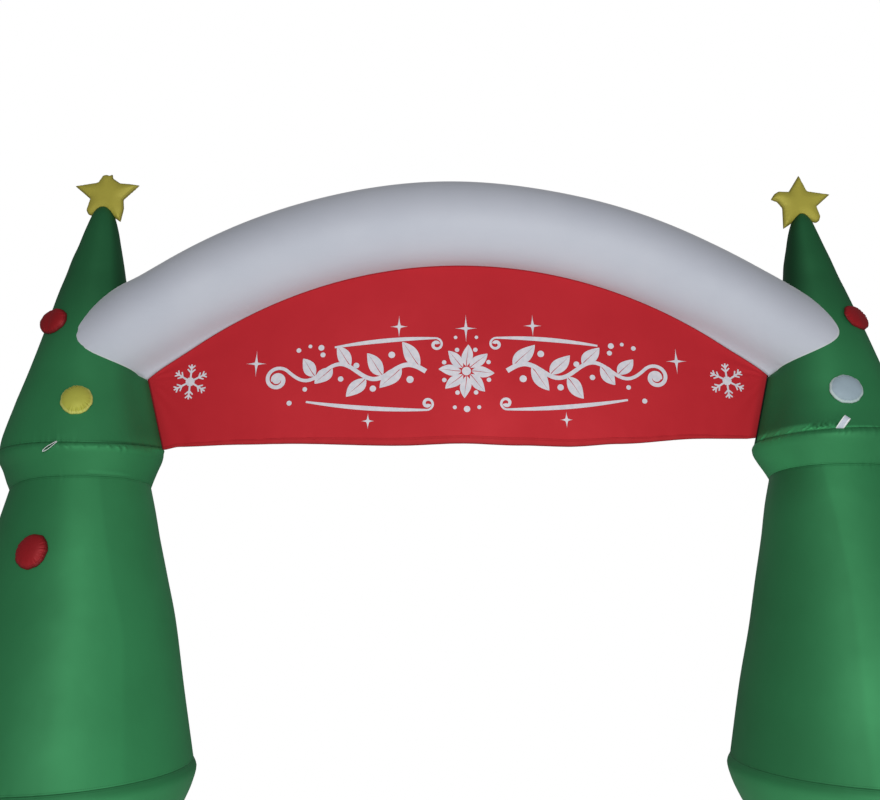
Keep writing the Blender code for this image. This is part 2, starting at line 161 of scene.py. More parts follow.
# How far a tree's seams rise towards the arch, and droop on the far side.
Lift = namedtuple("Lift", "heights near far")
LIFTS = {
    "left": Lift(
        (1.72, 1.874, 1.940, 2.000, 2.100),
        (0, 0.0170, 0.0100, 0.0030, 0),
        (0, 0.0205, 0.0200, 0.0180, 0),
    ),
    "right": Lift(
        (1.72, 1.896, 1.950, 1.990, 2.016, 2.100),
        (0, 0.0160, 0.0130, 0.0110, 0.0030, 0),
        (0, 0.0100, 0.0100, 0.0090, 0.0080, 0),
    ),
}
# The tube's section at an angle from the crown, measured from the arch's circle.
Section = namedtuple("Section", "angle top underside half_depth")
TUBE_SECTIONS = (
    Section(-46.5, 0.190, 0.101, 0.163),
    Section(-44.0, 0.187, 0.112, 0.170),
    Section(-41.5, 0.182, 0.123, 0.1755),
    Section(-39.0, 0.180, 0.134, 0.175),
    Section(-36.0, 0.168, 0.140, 0.171),
    Section(-33.0, 0.166, 0.145, 0.167),
    Section(-25.0, 0.166, 0.157, 0.161),
    Section(-10.0, 0.161, 0.160, 0.160),
    Section(0.0, 0.158, 0.160, 0.160),
    Section(14.0, 0.151, 0.160, 0.157),
    Section(27.0, 0.150, 0.158, 0.157),
    Section(34.0, 0.153, 0.148, 0.160),
    Section(39.0, 0.162, 0.138, 0.160),
    Section(41.5, 0.171, 0.126, 0.163),
    Section(44.0, 0.181, 0.115, 0.161),
    Section(46.5, 0.187, 0.106, 0.158),
)
BANNER_CORNER = {"left": Point(-1.0185, 2.006), "right": Point(1.0280, 2.035)}
HEM_POINTS = (
    BANNER_CORNER["left"],
    Point(-0.959, 2.016),
    Point(-0.753, 2.022),
    Point(-0.581, 2.024),
    Point(-0.202, 2.015),
    Point(0.004, 2.021),
    Point(0.210, 2.013),
    Point(0.382, 2.008),
    Point(0.555, 2.017),
    Point(0.831, 2.033),
    Point(0.990, 2.032),
    BANNER_CORNER["right"],
)
STAR_CENTRE = {"left": Point(-1.308, 2.953), "right": Point(1.283, 2.912)}
# Star outlines: degrees from straight up, clockwise, and the reach from the centre.
STAR_OUTLINES = {
    "left": (
        (355, 0.091), (1, 0.086), (8, 0.093), (12, 0.077),  # top arm, folded into two horns
        (39, 0.071), (57, 0.096), (69, 0.128),  # right arm
        (101, 0.065), (125, 0.084), (149, 0.119),  # lower right arm
        (180, 0.060), (213, 0.091), (221, 0.094), (233, 0.089),  # lower left arm, curled
        (263, 0.062), (290, 0.131),  # left arm
        (327, 0.070), (346, 0.091),
    ),
    "right": (
        (5, 0.112),  # top arm
        (35, 0.057), (74, 0.122),  # right arm
        (104, 0.063), (128, 0.090), (139, 0.097), (148, 0.096), (155, 0.085),  # lower right, rounded
        (182, 0.058), (215, 0.128),  # lower left arm
        (253, 0.070), (272, 0.082), (277, 0.107), (292, 0.097), (303, 0.086),  # left arm, tip bent down
        (322, 0.057),
    ),
}
# A disc is flat across its back; "turn" is how far it is set round from square.
Disc = namedtuple("Disc", "side label panel height azimuth turn width tall bulge pleats cloth tint")
# The last column is light and shade painted onto each disc, a share lighter or darker than its cloth.
DISCS = (
    Disc("left", "red_high", "tier_top", 2.432, -33.0, 15.0, 0.112, 0.096, 0.022, 0.16, "red", 0.0),
    Disc("left", "yellow", "tier_top", 2.141, 16.0, 0.0, 0.099, 0.103, 0.024, 0.26, "yellow", -0.06),
    Disc("left", "red_low", "tier_mid", 1.664, -7.0, 0.0, 0.100, 0.107, 0.024, 0.14, "red", 0.05),
    Disc("right", "red", "tier_top", 2.433, 38.4, -4.0, 0.133, 0.092, 0.015, 0.20, "red", 0.26),
    Disc("right", "white", "tier_top", 2.163, -9.5, 0.0, 0.103, 0.103, 0.020, 0.08, "white", 0.0),
)
# A tether's loop leans out of the cloth; "wide" is the way its tape lies, if it does
# not lie on the cloth.
Tether = namedtuple("Tether", "side azimuth turn lean length height wide")
TETHERS = (
    Tether("left", 5.0, -135.0, 8.0, 0.049, 0.006, (0.35, -0.917, -0.19)),
    Tether("right", -18.7, 41.0, 16.0, 0.043, 0.012, None),
)

# ---- fineness of the meshes -------------------------------------------------
TREE_SIDES = 432
PANEL_STEP = 0.013
TUBE_SIDES = 168
TUBE_ROWS = 150
TUBE_LENGTH = 2.7            # along the arch, from tree to tree
EDGE_ROWS = (0.0015, 0.003, 0.005, 0.008, 0.012, 0.018, 0.026)
PULL_POWER = 30              # how narrow the strip is that the banner draws out of a tree
KEEL_POWER = 8               # how narrow the ridge is where the banner meets the tube


# ---- curves -----------------------------------------------------------------
def blend(low, high, value):
    """0 below low, 1 above high, and a smooth step between."""
    t = np.clip((value - low) / (high - low), 0.0, 1.0)
    return t * t * (3.0 - 2.0 * t)


def between(start, full, hold, end, value):
    """Rises from start to full, and falls again from hold to end."""
    return blend(start, full, value) * (1.0 - blend(hold, end, value))


def hump(value, middle, width):
    """1 at the middle, and falling off softly to both sides."""
    return np.exp(-(((value - middle) / width) ** 2))


def eased(places, values, at):
    """Values along a smooth curve through the given ones, with no overshoot."""
    places = np.asarray(places, float)
    values = np.asarray(values, float)
    span = np.diff(places)
    slope = np.diff(values) / span
    tangent = np.zeros_like(values)
    same = slope[:-1] * slope[1:] > 0
    total = np.where(same, slope[:-1] + slope[1:], 1.0)
    tangent[1:-1] = np.where(same, 2.0 * slope[:-1] * slope[1:] / total, 0.0)
    tangent[0] = slope[0]
    tangent[-1] = slope[-1]
    k = np.clip(np.searchsorted(places, at, "right") - 1, 0, len(span) - 1)
    t = (at - places[k]) / span[k]
    rest = 1.0 - t
    start = values[k] * rest**2 * (1.0 + 2.0 * t) + span[k] * tangent[k] * t * rest**2
    end = values[k + 1] * t**2 * (3.0 - 2.0 * t) - span[k] * tangent[k + 1] * t**2 * rest
    return start + end


def waves(value, terms):
    """A sum of sines: each term is an amount, a rate and a phase."""
    return sum(amount * np.sin(rate * value + phase) for amount, rate, phase in terms)


def full_turn(sides):
    return np.linspace(0.0, 2.0 * np.pi, sides, endpoint=False)


def inward(side):
    return 1.0 if side == "left" else -1.0


def low_rows(side, rows):
    return tuple(Row(height, -inward(side) * TREE_BASE_X, radius) for height, radius in rows)


PANELS = {
    side: {
        "tier_low": low_rows(side, LOW_ROWS),
        "band_mid": low_rows(side, MID_BAND_ROWS),
        "tier_mid": MID_ROWS[side],
        "band_top": TOP_BAND_ROWS[side],
        "tier_top": TOP_ROWS[side],
    }
    for side in ("left", "right")
}

Profile = namedtuple("Profile", "height centre radius rise along")


def edge_spaced(length, step):
    """Places from 0 to length, a step apart and closer near both ends."""
    inner = np.linspace(EDGE_ROWS[-1], length - EDGE_ROWS[-1], max(3, round(length / step)))
    near = np.array((0.0, *EDGE_ROWS[:-1]))
    return np.concatenate((near, inner, length - near[::-1]))


def profile(rows):
    """A panel's rows drawn out into a fine, smooth profile."""
    table = np.array(rows)
    run = np.hypot(np.diff(table[:, 0]), np.diff(table[:, 2]))
    places = np.concatenate(([0.0], np.cumsum(run)))
    at = edge_spaced(places[-1], PANEL_STEP)
    return Profile(*(eased(places, table[:, k], at) for k in range(4)), at)


PROFILES = {side: {panel: profile(rows) for panel, rows in PANELS[side].items()} for side in PANELS}


def underside_radius(angle):
    """The radius of the arc along which the banner is sewn to the tube."""
    lift = KEEL_LIFT * blend(KEEL_LIFT_START, SPRING_ANGLE, np.abs(angle))
    return ARCH_RADIUS - TUBE_RADIUS + lift


def spring_point(side):
    """The banner's upper corner, where the tube's underside meets the tree."""
    reach = float(underside_radius(SPRING_ANGLE))
    angle = math.radians(SPRING_ANGLE)
    return Point(-inward(side) * reach * math.sin(angle), ARCH_CENTRE_Z + reach * math.cos(angle))


def banner_side_x(side, height):
    top = spring_point(side)
    bottom = BANNER_CORNER[side]
    return bottom.x + (top.x - bottom.x) * (height - bottom.z) / (top.z - bottom.z)


def pull(side, height, centre, radius):
    """How far the banner draws the tree's cloth towards the arch."""
    place = height + np.interp(height, LIFTS[side].heights, LIFTS[side].near)
    reach = inward(side) * (banner_side_x(side, place) - centre) - radius - SEAM_GAP
    top = spring_point(side).z
    seam = TOP_ROWS[side][0].height
    return np.maximum(0.0, reach) * between(seam - 0.020, seam - 0.006, top - 0.004, top + 0.014, height)


def lobe(side, azimuth):
    """1 where a tree faces the middle of the arch, falling off to both sides."""
    return np.maximum(0.0, inward(side) * np.cos(azimuth)) ** PULL_POWER


def seam_lift(side, height, azimuth):
    lift = LIFTS[side]
    facing = inward(side) * np.cos(azimuth)
    near = np.interp(height, lift.heights, lift.near) * np.maximum(0.0, facing) ** 1.5
    far = np.interp(height, lift.heights, lift.far) * np.maximum(0.0, -facing) ** 1.5
    return near - far


def outside(side, x, y, z):
    """How far points lie outside a top cone's cloth."""
    cone = PROFILES[side]["tier_top"]
    height = z
    for _ in range(3):
        centre = np.interp(height, cone.height, cone.centre)
        azimuth = np.arctan2(y, x - centre)
        height = z + np.interp(height, cone.height, cone.rise) * np.sin(azimuth)
    radius = np.interp(height, cone.height, cone.radius)
    drawn = pull(side, height, centre, radius) * lobe(side, azimuth)
    return np.hypot(x - centre, y) - radius - drawn


# ---- making meshes ----------------------------------------------------------
END_SEAM = 0.05              # a distance to the seam that is far from any


def add_mesh(name, vertices, faces, material, attributes=()):
    mesh = bpy.data.meshes.new(name)
    mesh.from_pydata([tuple(map(float, v)) for v in vertices], [], faces)
    for label, values in dict(attributes).items():
        layer = mesh.attributes.new(label, "FLOAT", "POINT")
        layer.data.foreach_set("value", np.asarray(values, np.float32).ravel())
    mesh.materials.append(material)
    mesh.shade_smooth()
    obj = bpy.data.objects.new(name, mesh)
    bpy.context.scene.collection.objects.link(obj)
    return obj


def grid_faces(rows, columns, closed, start=0, flip=False):
    """Quads over a grid of vertices, row after row."""
    faces = []
    for i in range(rows - 1):
        for j in range(columns if closed else columns - 1):
            a = start + i * columns + j
            b = start + i * columns + (j + 1) % columns
            quad = (a, b, b + columns, a + columns)
            faces.append(quad[::-1] if flip else quad)
    return faces


def closed_grid(name, x, y, z, layers, material):
    """A mesh of rings, with a fan over its first and its last one."""
    rows, sides = x.shape
    vertices = list(np.stack((x, y, z), axis=-1).reshape(-1, 3))
    layers = {label: list(np.broadcast_to(layer, x.shape).ravel()) for label, layer in layers.items()}
    faces = grid_faces(rows, sides, closed=True)
    for row in (0, rows - 1):
        first = row * sides
        vertices.append(np.mean(vertices[first : first + sides], axis=0))
        for label, values in layers.items():
            values.append(END_SEAM if label == "seam" else 0.0)
        for k in range(sides):
            pair = (first + k, first + (k + 1) % sides)
            faces.append((*(pair[::-1] if row == 0 else pair), len(vertices) - 1))
    return add_mesh(name, vertices, faces, material, layers)


def outward_normals(obj, weld=False):
    """Turns the faces outwards, after welding points that lie on one another."""
    bm = bmesh.new()
    bm.from_mesh(obj.data)
    if weld:
        bmesh.ops.remove_doubles(bm, verts=bm.verts, dist=1e-6)
    bmesh.ops.recalc_face_normals(bm, faces=bm.faces)
    bm.to_mesh(obj.data)
    bm.free()


# ---- materials --------------------------------------------------------------
STITCH_INSET = 0.0055        # of the row of stitches, from the seam
STITCH_LENGTH = 0.0022
RIB_LENGTH = 0.0008
WEAVE_SCALE = 260.0


class Nodes:
    """Short ways to add and join nodes in one material."""

    def __init__(self, name):
        self.material = bpy.data.materials.new(name)
        self.material.use_nodes = True
        self.tree = self.material.node_tree

    def feed(self, node, inputs):
        """Links or sets a node's inputs, each given by its name or its place."""
        for key, value in dict(inputs).items():
            if isinstance(value, bpy.types.NodeSocket):
                self.tree.links.new(value, node.inputs[key])
            else:
                node.inputs[key].default_value = value

    def add(self, kind, inputs=(), output=0, **settings):
        node = self.tree.nodes.new(kind)
        for key, value in settings.items():
            setattr(node, key, value)
        self.feed(node, inputs)
        return node.outputs[output]

    def shade(self, inputs):
        """Joins up the material's shader."""
        self.feed(self.tree.nodes["Principled BSDF"], inputs)
        return self.material

    def maths(self, operation, a, b=0.0):
        return self.add("ShaderNodeMath", {0: a, 1: b}, operation=operation)

    def mix(self, factor, a, b):
        a, b = ((*tone, 1.0) if isinstance(tone, tuple) else tone for tone in (a, b))
        return self.add("ShaderNodeMix", {0: factor, 6: a, 7: b}, 2, data_type="RGBA")

    def attribute(self, name):
        return self.add("ShaderNodeAttribute", output="Fac", attribute_name=name)

    def place(self):
        """The point's place in the object."""
        return self.add("ShaderNodeTexCoord", output="Object")

    def noise(self, place, scale, detail):
        return self.add("ShaderNodeTexNoise", {"Vector": place, "Scale": scale, "Detail": detail})

    def ramp(self, value, low, high):
        """0 below low, 1 above high."""
        inputs = {0: value, 1: low, 2: high}
        return self.add("ShaderNodeMapRange", inputs, clamp=True, interpolation_type="SMOOTHSTEP")

    def bump(self, height, strength, distance, under=None):
        """A relief, on top of another one if that is given."""
        inputs = {"Height": height, "Strength": strength, "Distance": distance}
        if under is not None:
            inputs["Normal"] = under
        return self.add("ShaderNodeBump", inputs)


# A satin cloth's gloss takes the dye's colour, which "satin" gives the share of.
Cloth = namedtuple("Cloth", "colour shade thread edge roughness satin sheen hem", defaults=(0.0, None))
CLOTHS = {
    "green": Cloth((0.039, 0.252, 0.093), (0.034, 0.222, 0.081), (0.019, 0.130, 0.046), 0.0012, 0.60, 0.36),
    "white": Cloth(
        (0.570, 0.592, 0.665), (0.540, 0.564, 0.640), (0.740, 0.790, 0.765), 0.0032, 0.55, 0.0,
        sheen=0.35,
    ),
    "banner": Cloth(
        (0.540, 0.014, 0.024), (0.520, 0.0135, 0.023), (0.330, 0.009, 0.015), 0.0026, 0.62, 0.20,
        hem=(0.50, 0.0155, 0.023),
    ),
    "star": Cloth((0.590, 0.530, 0.084), (0.500, 0.440, 0.068), (0.160, 0.125, 0.030), 0.0032, 0.55, 0.10),
    "red disc": Cloth(
        (0.330, 0.011, 0.016), (0.260, 0.009, 0.013), (0.070, 0.003, 0.004), 0.0035, 0.55, 0.20
    ),
    "white disc": Cloth(
        (0.370, 0.470, 0.535), (0.345, 0.440, 0.500), (0.720, 0.860, 0.820), 0.0050, 0.55, 0.0
    ),
    "yellow disc": Cloth(
        (0.570, 0.580, 0.088), (0.470, 0.460, 0.070), (0.820, 0.800, 0.230), 0.0046, 0.55, 0.10
    ),
}


def make_cloth(name, cloth):
    """Coated polyester: a fine plain weave, soft creases, and a sewn edge.

    The meshes give the distance to the nearest seam, the run along it, and the
    light and shade painted onto the cloth, as a share lighter or darker than its colour.
    """
    nodes = Nodes(name)
    place = nodes.place()
    broad = nodes.noise(place, 3.5, 3.0)
    tone = nodes.mix(nodes.ramp(broad, 0.30, 0.70), cloth.colour, cloth.shade)
    seam = nodes.attribute("seam")
    edge = nodes.ramp(seam, cloth.edge * 1.3, cloth.edge * 0.7)
    tone = nodes.mix(nodes.maths("MULTIPLY", edge, 0.6), tone, cloth.thread)
    across = nodes.maths("ABSOLUTE", nodes.maths("SUBTRACT", seam, STITCH_INSET))
    beat = nodes.maths("PINGPONG", nodes.attribute("along"), STITCH_LENGTH)
    stitch = nodes.maths("MULTIPLY", nodes.ramp(across, 0.0008, 0.0004), nodes.ramp(beat, 0.0007, 0.0010))
    tone = nodes.mix(nodes.maths("MULTIPLY", stitch, 0.7), tone, cloth.thread)
    if cloth.hem:
        tone = nodes.mix(nodes.attribute("hem"), tone, cloth.hem)
    # Light and shade painted onto the mesh scale the cloth's colour.
    depth = nodes.maths("ADD", nodes.attribute("tint"), 1.0)
    tone = nodes.add("ShaderNodeVectorMath", {0: tone, "Scale": depth}, operation="SCALE")
    warp, weft = (
        nodes.add("ShaderNodeTexWave", {"Vector": place, "Scale": WEAVE_SCALE}, bands_direction=way)
        for way in "ZX"
    )
    weave = nodes.bump(nodes.maths("MULTIPLY", warp, weft), 0.05, 0.0004)
    creases = nodes.bump(nodes.noise(place, 22.0, 3.0), 0.16, 0.004, weave)
    rough = {0: broad, 1: 0.3, 2: 0.7, 3: cloth.roughness - 0.04, 4: cloth.roughness + 0.05}
    return nodes.shade({
        "Base Color": tone,
        "Normal": nodes.bump(stitch, 0.6, 0.0006, creases),
        "Roughness": nodes.add("ShaderNodeMapRange", rough),
        "Metallic": cloth.satin,
        "Sheen Weight": cloth.sheen,
        "Sheen Roughness": 0.5,
        "Specular IOR Level": 0.26,
    })


def make_webbing():
    """Woven tape: ribs across it and a firmer edge."""
    nodes = Nodes("webbing")
    ribs = nodes.ramp(nodes.maths("PINGPONG", nodes.attribute("along"), RIB_LENGTH), 0.0, RIB_LENGTH)
    tone = nodes.mix(ribs, (0.50, 0.54, 0.64), (0.72, 0.76, 0.86))
    edge = nodes.maths("MULTIPLY", nodes.ramp(nodes.attribute("seam"), 0.0036, 0.0024), 0.9)
    return nodes.shade({
        "Base Color": nodes.mix(edge, tone, (0.96, 0.98, 0.97)),
        "Normal": nodes.bump(ribs, 0.4, 0.0004),
        "Roughness": 0.8,
        "Sheen Weight": 0.25,
    })


def make_ink():
    """The pale print on the banner, with the cloth's weave under it."""
    nodes = Nodes("print")
    place = nodes.place()
    worn = nodes.ramp(nodes.noise(place, 60.0, 4.0), 0.35, 0.65)
    return nodes.shade({
        "Base Color": nodes.mix(worn, (0.72, 0.69, 0.74), (0.63, 0.63, 0.69)),
        "Normal": nodes.bump(nodes.noise(place, 900.0, 2.0), 0.15, 0.0003),
        "Roughness": 0.55,
    })


MATERIALS = {name: make_cloth(f"{name} cloth", cloth) for name, cloth in CLOTHS.items()}
MATERIALS["webbing"] = make_webbing()
MATERIALS["print"] = make_ink()


# ---- trees ------------------------------------------------------------------
# Waves round a tree, each an amount, a rate and a phase: the gathers along a sewn
# seam, where they bunch up, and how uneven the cloth is.
GATHERS = ((0.40, 41, 0.4), (0.40, 67, 2.1), (0.35, 103, 4.4))
CLUSTERS = ((0.35, 3, 1.0), (0.35, 5, 2.6), (0.30, 8, 0.3))
UNEVEN = {
    "left": ((0.0008, 3, 0.5), (0.0006, 5, 2.0), (0.0004, 9, 1.1)),
    "right": ((0.0008, 2, 1.9), (0.0006, 5, 0.2), (0.0004, 8, 3.3)),
}
SEAM_DEPTH = {"sewn": 0.0009, "pinched": 0.0005}
SEAM_WIDTH = 0.0025
# How deep the gathers are at a panel's lower and upper seam.
PUCKER = {
    ("left", "tier_top"): (0.0016, 0.0004),
    ("left", "band_top"): (0.0006, 0.0022),
    ("left", "tier_mid"): (0.0010, 0.0006),
    ("right", "tier_top"): (0.0022, 0.0004),
    ("right", "band_top"): (0.0008, 0.0022),
    ("right", "tier_mid"): (0.0010, 0.0007),
}
PLAIN_PUCKER = (0.0010, 0.0010)
PUCKER_REACH = 0.012
# Slanting folds on a panel: azimuth from straight ahead where it starts, slant in
# degrees of azimuth a metre, width in degrees, height, and the stretch it takes.
Fold = namedtuple("Fold", "azimuth slant width height low high")
FOLDS = {
    ("right", "tier_top"): (
        Fold(-45.0, 330.0, 1.1, 0.0060, 0.006, 0.034),
        Fold(-41.5, 380.0, 1.0, 0.0070, 0.003, 0.040),
        Fold(-38.5, 420.0, 0.9, 0.0075, 0.005, 0.040),
        Fold(-35.5, 430.0, 1.0, 0.0070, 0.002, 0.034),
        Fold(-32.0, 400.0, 1.2, 0.0045, 0.002, 0.028),
        Fold(-23.5, 60.0, 1.8, 0.0050, 0.010, 0.040),
        Fold(-58.0, 300.0, 1.4, 0.0022, 0.000, 0.026),
        Fold(-70.0, 280.0, 1.6, 0.0022, 0.000, 0.028),
        Fold(-84.0, 240.0, 1.6, 0.0030, 0.000, 0.030),
    ),
    ("right", "band_top"): (
        Fold(-16.0, 0.0, 0.9, 0.0022, 0.112, 0.137),
        Fold(-20.5, 20.0, 0.8, 0.0020, 0.114, 0.137),
        Fold(-12.0, 0.0, 0.8, 0.0016, 0.118, 0.137),
        Fold(-62.0, 30.0, 1.0, 0.0018, 0.114, 0.137),
        Fold(-68.0, 30.0, 1.0, 0.0018, 0.116, 0.137),
    ),
    ("left", "band_top"): (
        Fold(41.0, -160.0, 1.0, 0.0032, 0.116, 0.141),
        Fold(47.5, -120.0, 1.0, 0.0038, 0.110, 0.141),
        Fold(52.0, -90.0, 1.0, 0.0030, 0.114, 0.141),
        Fold(22.0, -60.0, 1.2, 0.0022, 0.114, 0.141),
        Fold(30.0, 60.0, 1.2, 0.0022, 0.116, 0.141),
        Fold(11.0, -80.0, 1.3, 0.0026, 0.110, 0.141),
    ),
}
# Painted highlight on a fold's ridge and painted shade beside it.
FOLD_PAINTED_SHADING = 75.0             # lighter or deeper, for each metre of a fold's height
# A crease in the left cone's pinch, from its start to its end in azimuth.
PINCH_CREASE = (22.0, 64.0)
# Where the painted highlight down each middle cone ends, by height: azimuth from straight ahead.
PAINTED_HIGHLIGHT_HEIGHTS = (1.40, 1.60, 1.74, 1.87)
PAINTED_HIGHLIGHT_EDGES = {"left": (48.5, 42.0, 38.0, 34.0), "right": (-24.0, -24.0, -26.5, -32.0)}
# How high the painted highlight above the right seam reaches, by azimuth from straight ahead.
SEAM_HIGHLIGHT_AHEAD = (-104.0, -92.0, -84.0, -67.0, -50.0, -40.0, -36.0, -10.0, 6.0, 20.0)
SEAM_HIGHLIGHT_HEIGHT = (0.0, 0.016, 0.024, 0.026, 0.030, 0.032, 0.012, 0.011, 0.008, 0.0)


def ahead_angle(azimuth):
    """Degrees from straight ahead, positive to the right."""
    return np.degrees(np.arctan2(np.cos(azimuth), -np.sin(azimuth)))


def fold_heights(side, panel, azimuth, along):
    """The slanting folds of a panel, each as a height of 0 to 1 and its scale."""
    ahead = ahead_angle(azimuth)
    for fold in FOLDS.get((side, panel), ()):
        middle = fold.azimuth + fold.slant * (along - fold.low)
        ridge = hump(ahead, middle, fold.width)
        side_dip = hump(ahead, middle + 1.6 * fold.width, fold.width)
        span = fold.high - fold.low
        fade = between(fold.low, fold.low + 0.25 * span, fold.high - 0.45 * span, fold.high, along)
        yield (ridge - 0.6 * side_dip) * fade, fold.height


def cloth_offset(side, panel, azimuth, along, length):
    """How far the fine cloth stands out from a panel's smooth form."""
    low, high = PUCKER.get((side, panel), PLAIN_PUCKER)
    gathers = waves(azimuth, GATHERS) * (0.55 + waves(azimuth, CLUSTERS))
    offset = waves(azimuth, UNEVEN[side]) * np.sin(np.pi * along / length)
    at_low = "pinched" if panel.startswith("band") else "sewn"
    at_high = "pinched" if panel == "tier_mid" else "sewn"
    seams = [(low, along, at_low), (high, length - along, at_high)]
    if panel == "tier_top":
        seams.pop()
    for amount, away, seam in seams:
        offset = offset + amount * gathers * np.exp(-away / PUCKER_REACH)
        offset = offset - SEAM_DEPTH[seam] * np.exp(-away / SEAM_WIDTH)
    for ridge, height in fold_heights(side, panel, azimuth, along):
        offset = offset + height * ridge
    if (side, panel) == ("left", "band_top"):
        start, end = PINCH_CREASE
        span = between(start, start + 5.0, end - 12.0, end, ahead_angle(azimuth))
        offset = offset + 0.0026 * span * hump(along, 0.014, 0.005)
    return offset


def panel_painted_shading(side, panel, azimuth, along, length, height):
    """The light and shade painted onto a tree's cloth, as a share lighter or darker than its colour."""
    facing = inward(side) * np.cos(azimuth)
    ahead = ahead_angle(azimuth)
    # Painted shade: darker towards the top of the tree.
    tint = -0.34 * blend(2.22, 2.62, height)
    if panel == "tier_top":
        # Painted shade towards the banner, deepest in the seam's tuck.
        depth, start = (0.36, 0.30) if side == "right" else (0.22, 0.70)
        tint = tint - depth * blend(start, 0.97, facing) * blend(0.0, 0.05, along)
        # Painted light on the lower cloth, on the side away from the arch.
        tint = tint + 0.14 * (1.0 - blend(2.15, 2.50, height)) * blend(-0.2, 0.6, -facing)
        tuck = blend(0.35, 0.85, facing) if side == "left" else blend(0.85, 1.0, facing)
        tint = tint - 0.40 * tuck * (1.0 - blend(0.004, 0.010, along))
    if (side, panel) == ("right", "tier_top"):
        # A painted highlight on the cloth just above the seam.
        top = np.interp(ahead, SEAM_HIGHLIGHT_AHEAD, SEAM_HIGHLIGHT_HEIGHT)
        seam_highlight = (1.0 - blend(top - 0.004, top + 0.003, along)) * blend(0.0, 0.010, top)
        tint = tint + 0.70 * seam_highlight * blend(0.001, 0.005, along)
    if (side, panel) == ("right", "band_top"):
        # Painted light on the band's side towards the arch.
        tint = tint + 0.32 * blend(0.72, 1.0, facing)
    if panel == "tier_mid":
        # Painted light on the left cone's side towards the arch, and painted shade on the right cone's.
        tint = tint + (0.16 if side == "left" else -0.14) * blend(0.45, 0.95, facing)
        # Painted highlights in long soft bands down the cone, and on the right cone painted shade towards
        # the arch near the pinch.
        edge = np.interp(height, PAINTED_HIGHLIGHT_HEIGHTS, PAINTED_HIGHLIGHT_EDGES[side])
        if side == "right":
            tint = tint + 0.13 * blend(edge - 2.0, edge + 2.0, ahead) - 0.03
            tint = tint - 0.15 * blend(0.45, 0.95, facing) * blend(length - 0.18, length, along)
        else:
            tint = tint + 0.10 * between(edge - 34.0, edge - 22.0, edge - 2.0, edge + 2.0, ahead)
    if (side, panel) == ("left", "band_top"):
        # A painted highlight in a strip below the flare seam.
        span = between(4.0, 20.0, 92.0, 112.0, ahead)
        tint = tint + 0.14 * span * blend(length - 0.046, length - 0.026, along)
        # A painted highlight along the pinch's crease, and painted shade just below it.
        start, end = PINCH_CREASE
        crease = between(start, start + 5.0, end - 8.0, end, ahead)
        tint = tint + crease * (0.16 * hump(along, 0.015, 0.004) - 0.10 * hump(along, 0.004, 0.004))
    # A painted highlight on each fold's ridge, and painted shade beside it.
    for ridge, scale in fold_heights(side, panel, azimuth, along):
        tint = tint + FOLD_PAINTED_SHADING * scale * np.clip(ridge, -0.8, 0.4)
    return tint


def make_panel(side, panel):
    shape = PROFILES[side][panel]
    azimuth = full_turn(TREE_SIDES)
    height, centre, smooth, rise, along = (values[:, None] for values in shape)
    length = shape.along[-1]
    # The relief fades out towards the cone's tip.
    relief = cloth_offset(side, panel, azimuth, along, length) * np.minimum(1.0, smooth / 0.04)
    radius = np.maximum(smooth + relief, 0.0)
    if panel in ("tier_top", "band_top"):
        radius = radius + pull(side, height, centre, smooth) * lobe(side, azimuth)
    z = height - rise * np.sin(azimuth) + seam_lift(side, height, azimuth)
    z = z + (blend(0.004, 0.0, along) - blend(0.004, 0.0, length - along)) * SEAM_GAP / 2.0
    if panel == "tier_low":
        z = np.maximum(z, 0.0)
        z[0] = 0.0
    to_seam = np.minimum(along, length - along) if panel != "tier_top" else along
    if panel in ("tier_mid", "band_top"):
        # The pinch is a fold more than a seam and shows less.
        pinched = along if panel == "band_top" else length - along
        to_seam = np.where(pinched < 0.02, np.maximum(to_seam, 0.0012), to_seam)
    node = f"{side}_{panel}"
    layers = {
        "seam": to_seam,
        "along": azimuth * shape.radius.mean(),
        # Light and shade painted onto the panel.
        "tint": panel_painted_shading(side, panel, azimuth, along, length, height),
    }
    x = centre + radius * np.cos(azimuth)
    piece = closed_grid(f"{node}_cloth", x, radius * np.sin(azimuth), z, layers, MATERIALS["green"])
    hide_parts(node)
    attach(piece, "root")


# ---- tube -------------------------------------------------------------------
SECTION_TABLE = np.array(TUBE_SECTIONS)
SEAM_SEARCH = np.arange(34.0, TUBE_LAST_ANGLE, 0.05)
SADDLE_GATHERS = ((0.5, 19, 0.3), (0.4, 31, 1.9), (0.3, 43, 4.0))


def tube_points(angle, turn):
    """Points of the tube at angles from the crown and turns round its section."""
    top, underside, half_depth = (eased(SECTION_TABLE[:, 0], SECTION_TABLE[:, k], angle) for k in (1, 2, 3))
    keel = ARCH_RADIUS - underside_radius(angle) - underside
    down = np.where(np.cos(turn) > 0.0, 1.0 - np.abs(np.sin(turn)), 0.0)
    offset = (top - underside) / 2.0 - (top + underside) / 2.0 * np.cos(turn) - keel * down**KEEL_POWER
    offset = offset - SIDE_SAG * blend(35.0, 41.0, np.abs(angle)) * np.sin(turn) ** 4
    radius = ARCH_RADIUS + offset
    around = np.radians(angle)
    y = -half_depth * np.sin(turn)
    return radius * np.sin(around), y, ARCH_CENTRE_Z + radius * np.cos(around)


def seam_angle(side, turn):
    """Where a line along the tube meets the top cone, in degrees from the crown."""
    sign = -inward(side)
    away = outside(side, *tube_points(sign * SEAM_SEARCH, turn))
    entered = np.flatnonzero((away[:-1] > 0.0) & (away[1:] <= 0.0))
    if len(entered) == 0:
        return sign * TUBE_LAST_ANGLE
    k = entered[0]
    share = away[k] / (away[k] - away[k + 1])
    return sign * (SEAM_SEARCH[k] + (SEAM_SEARCH[1] - SEAM_SEARCH[0]) * share)


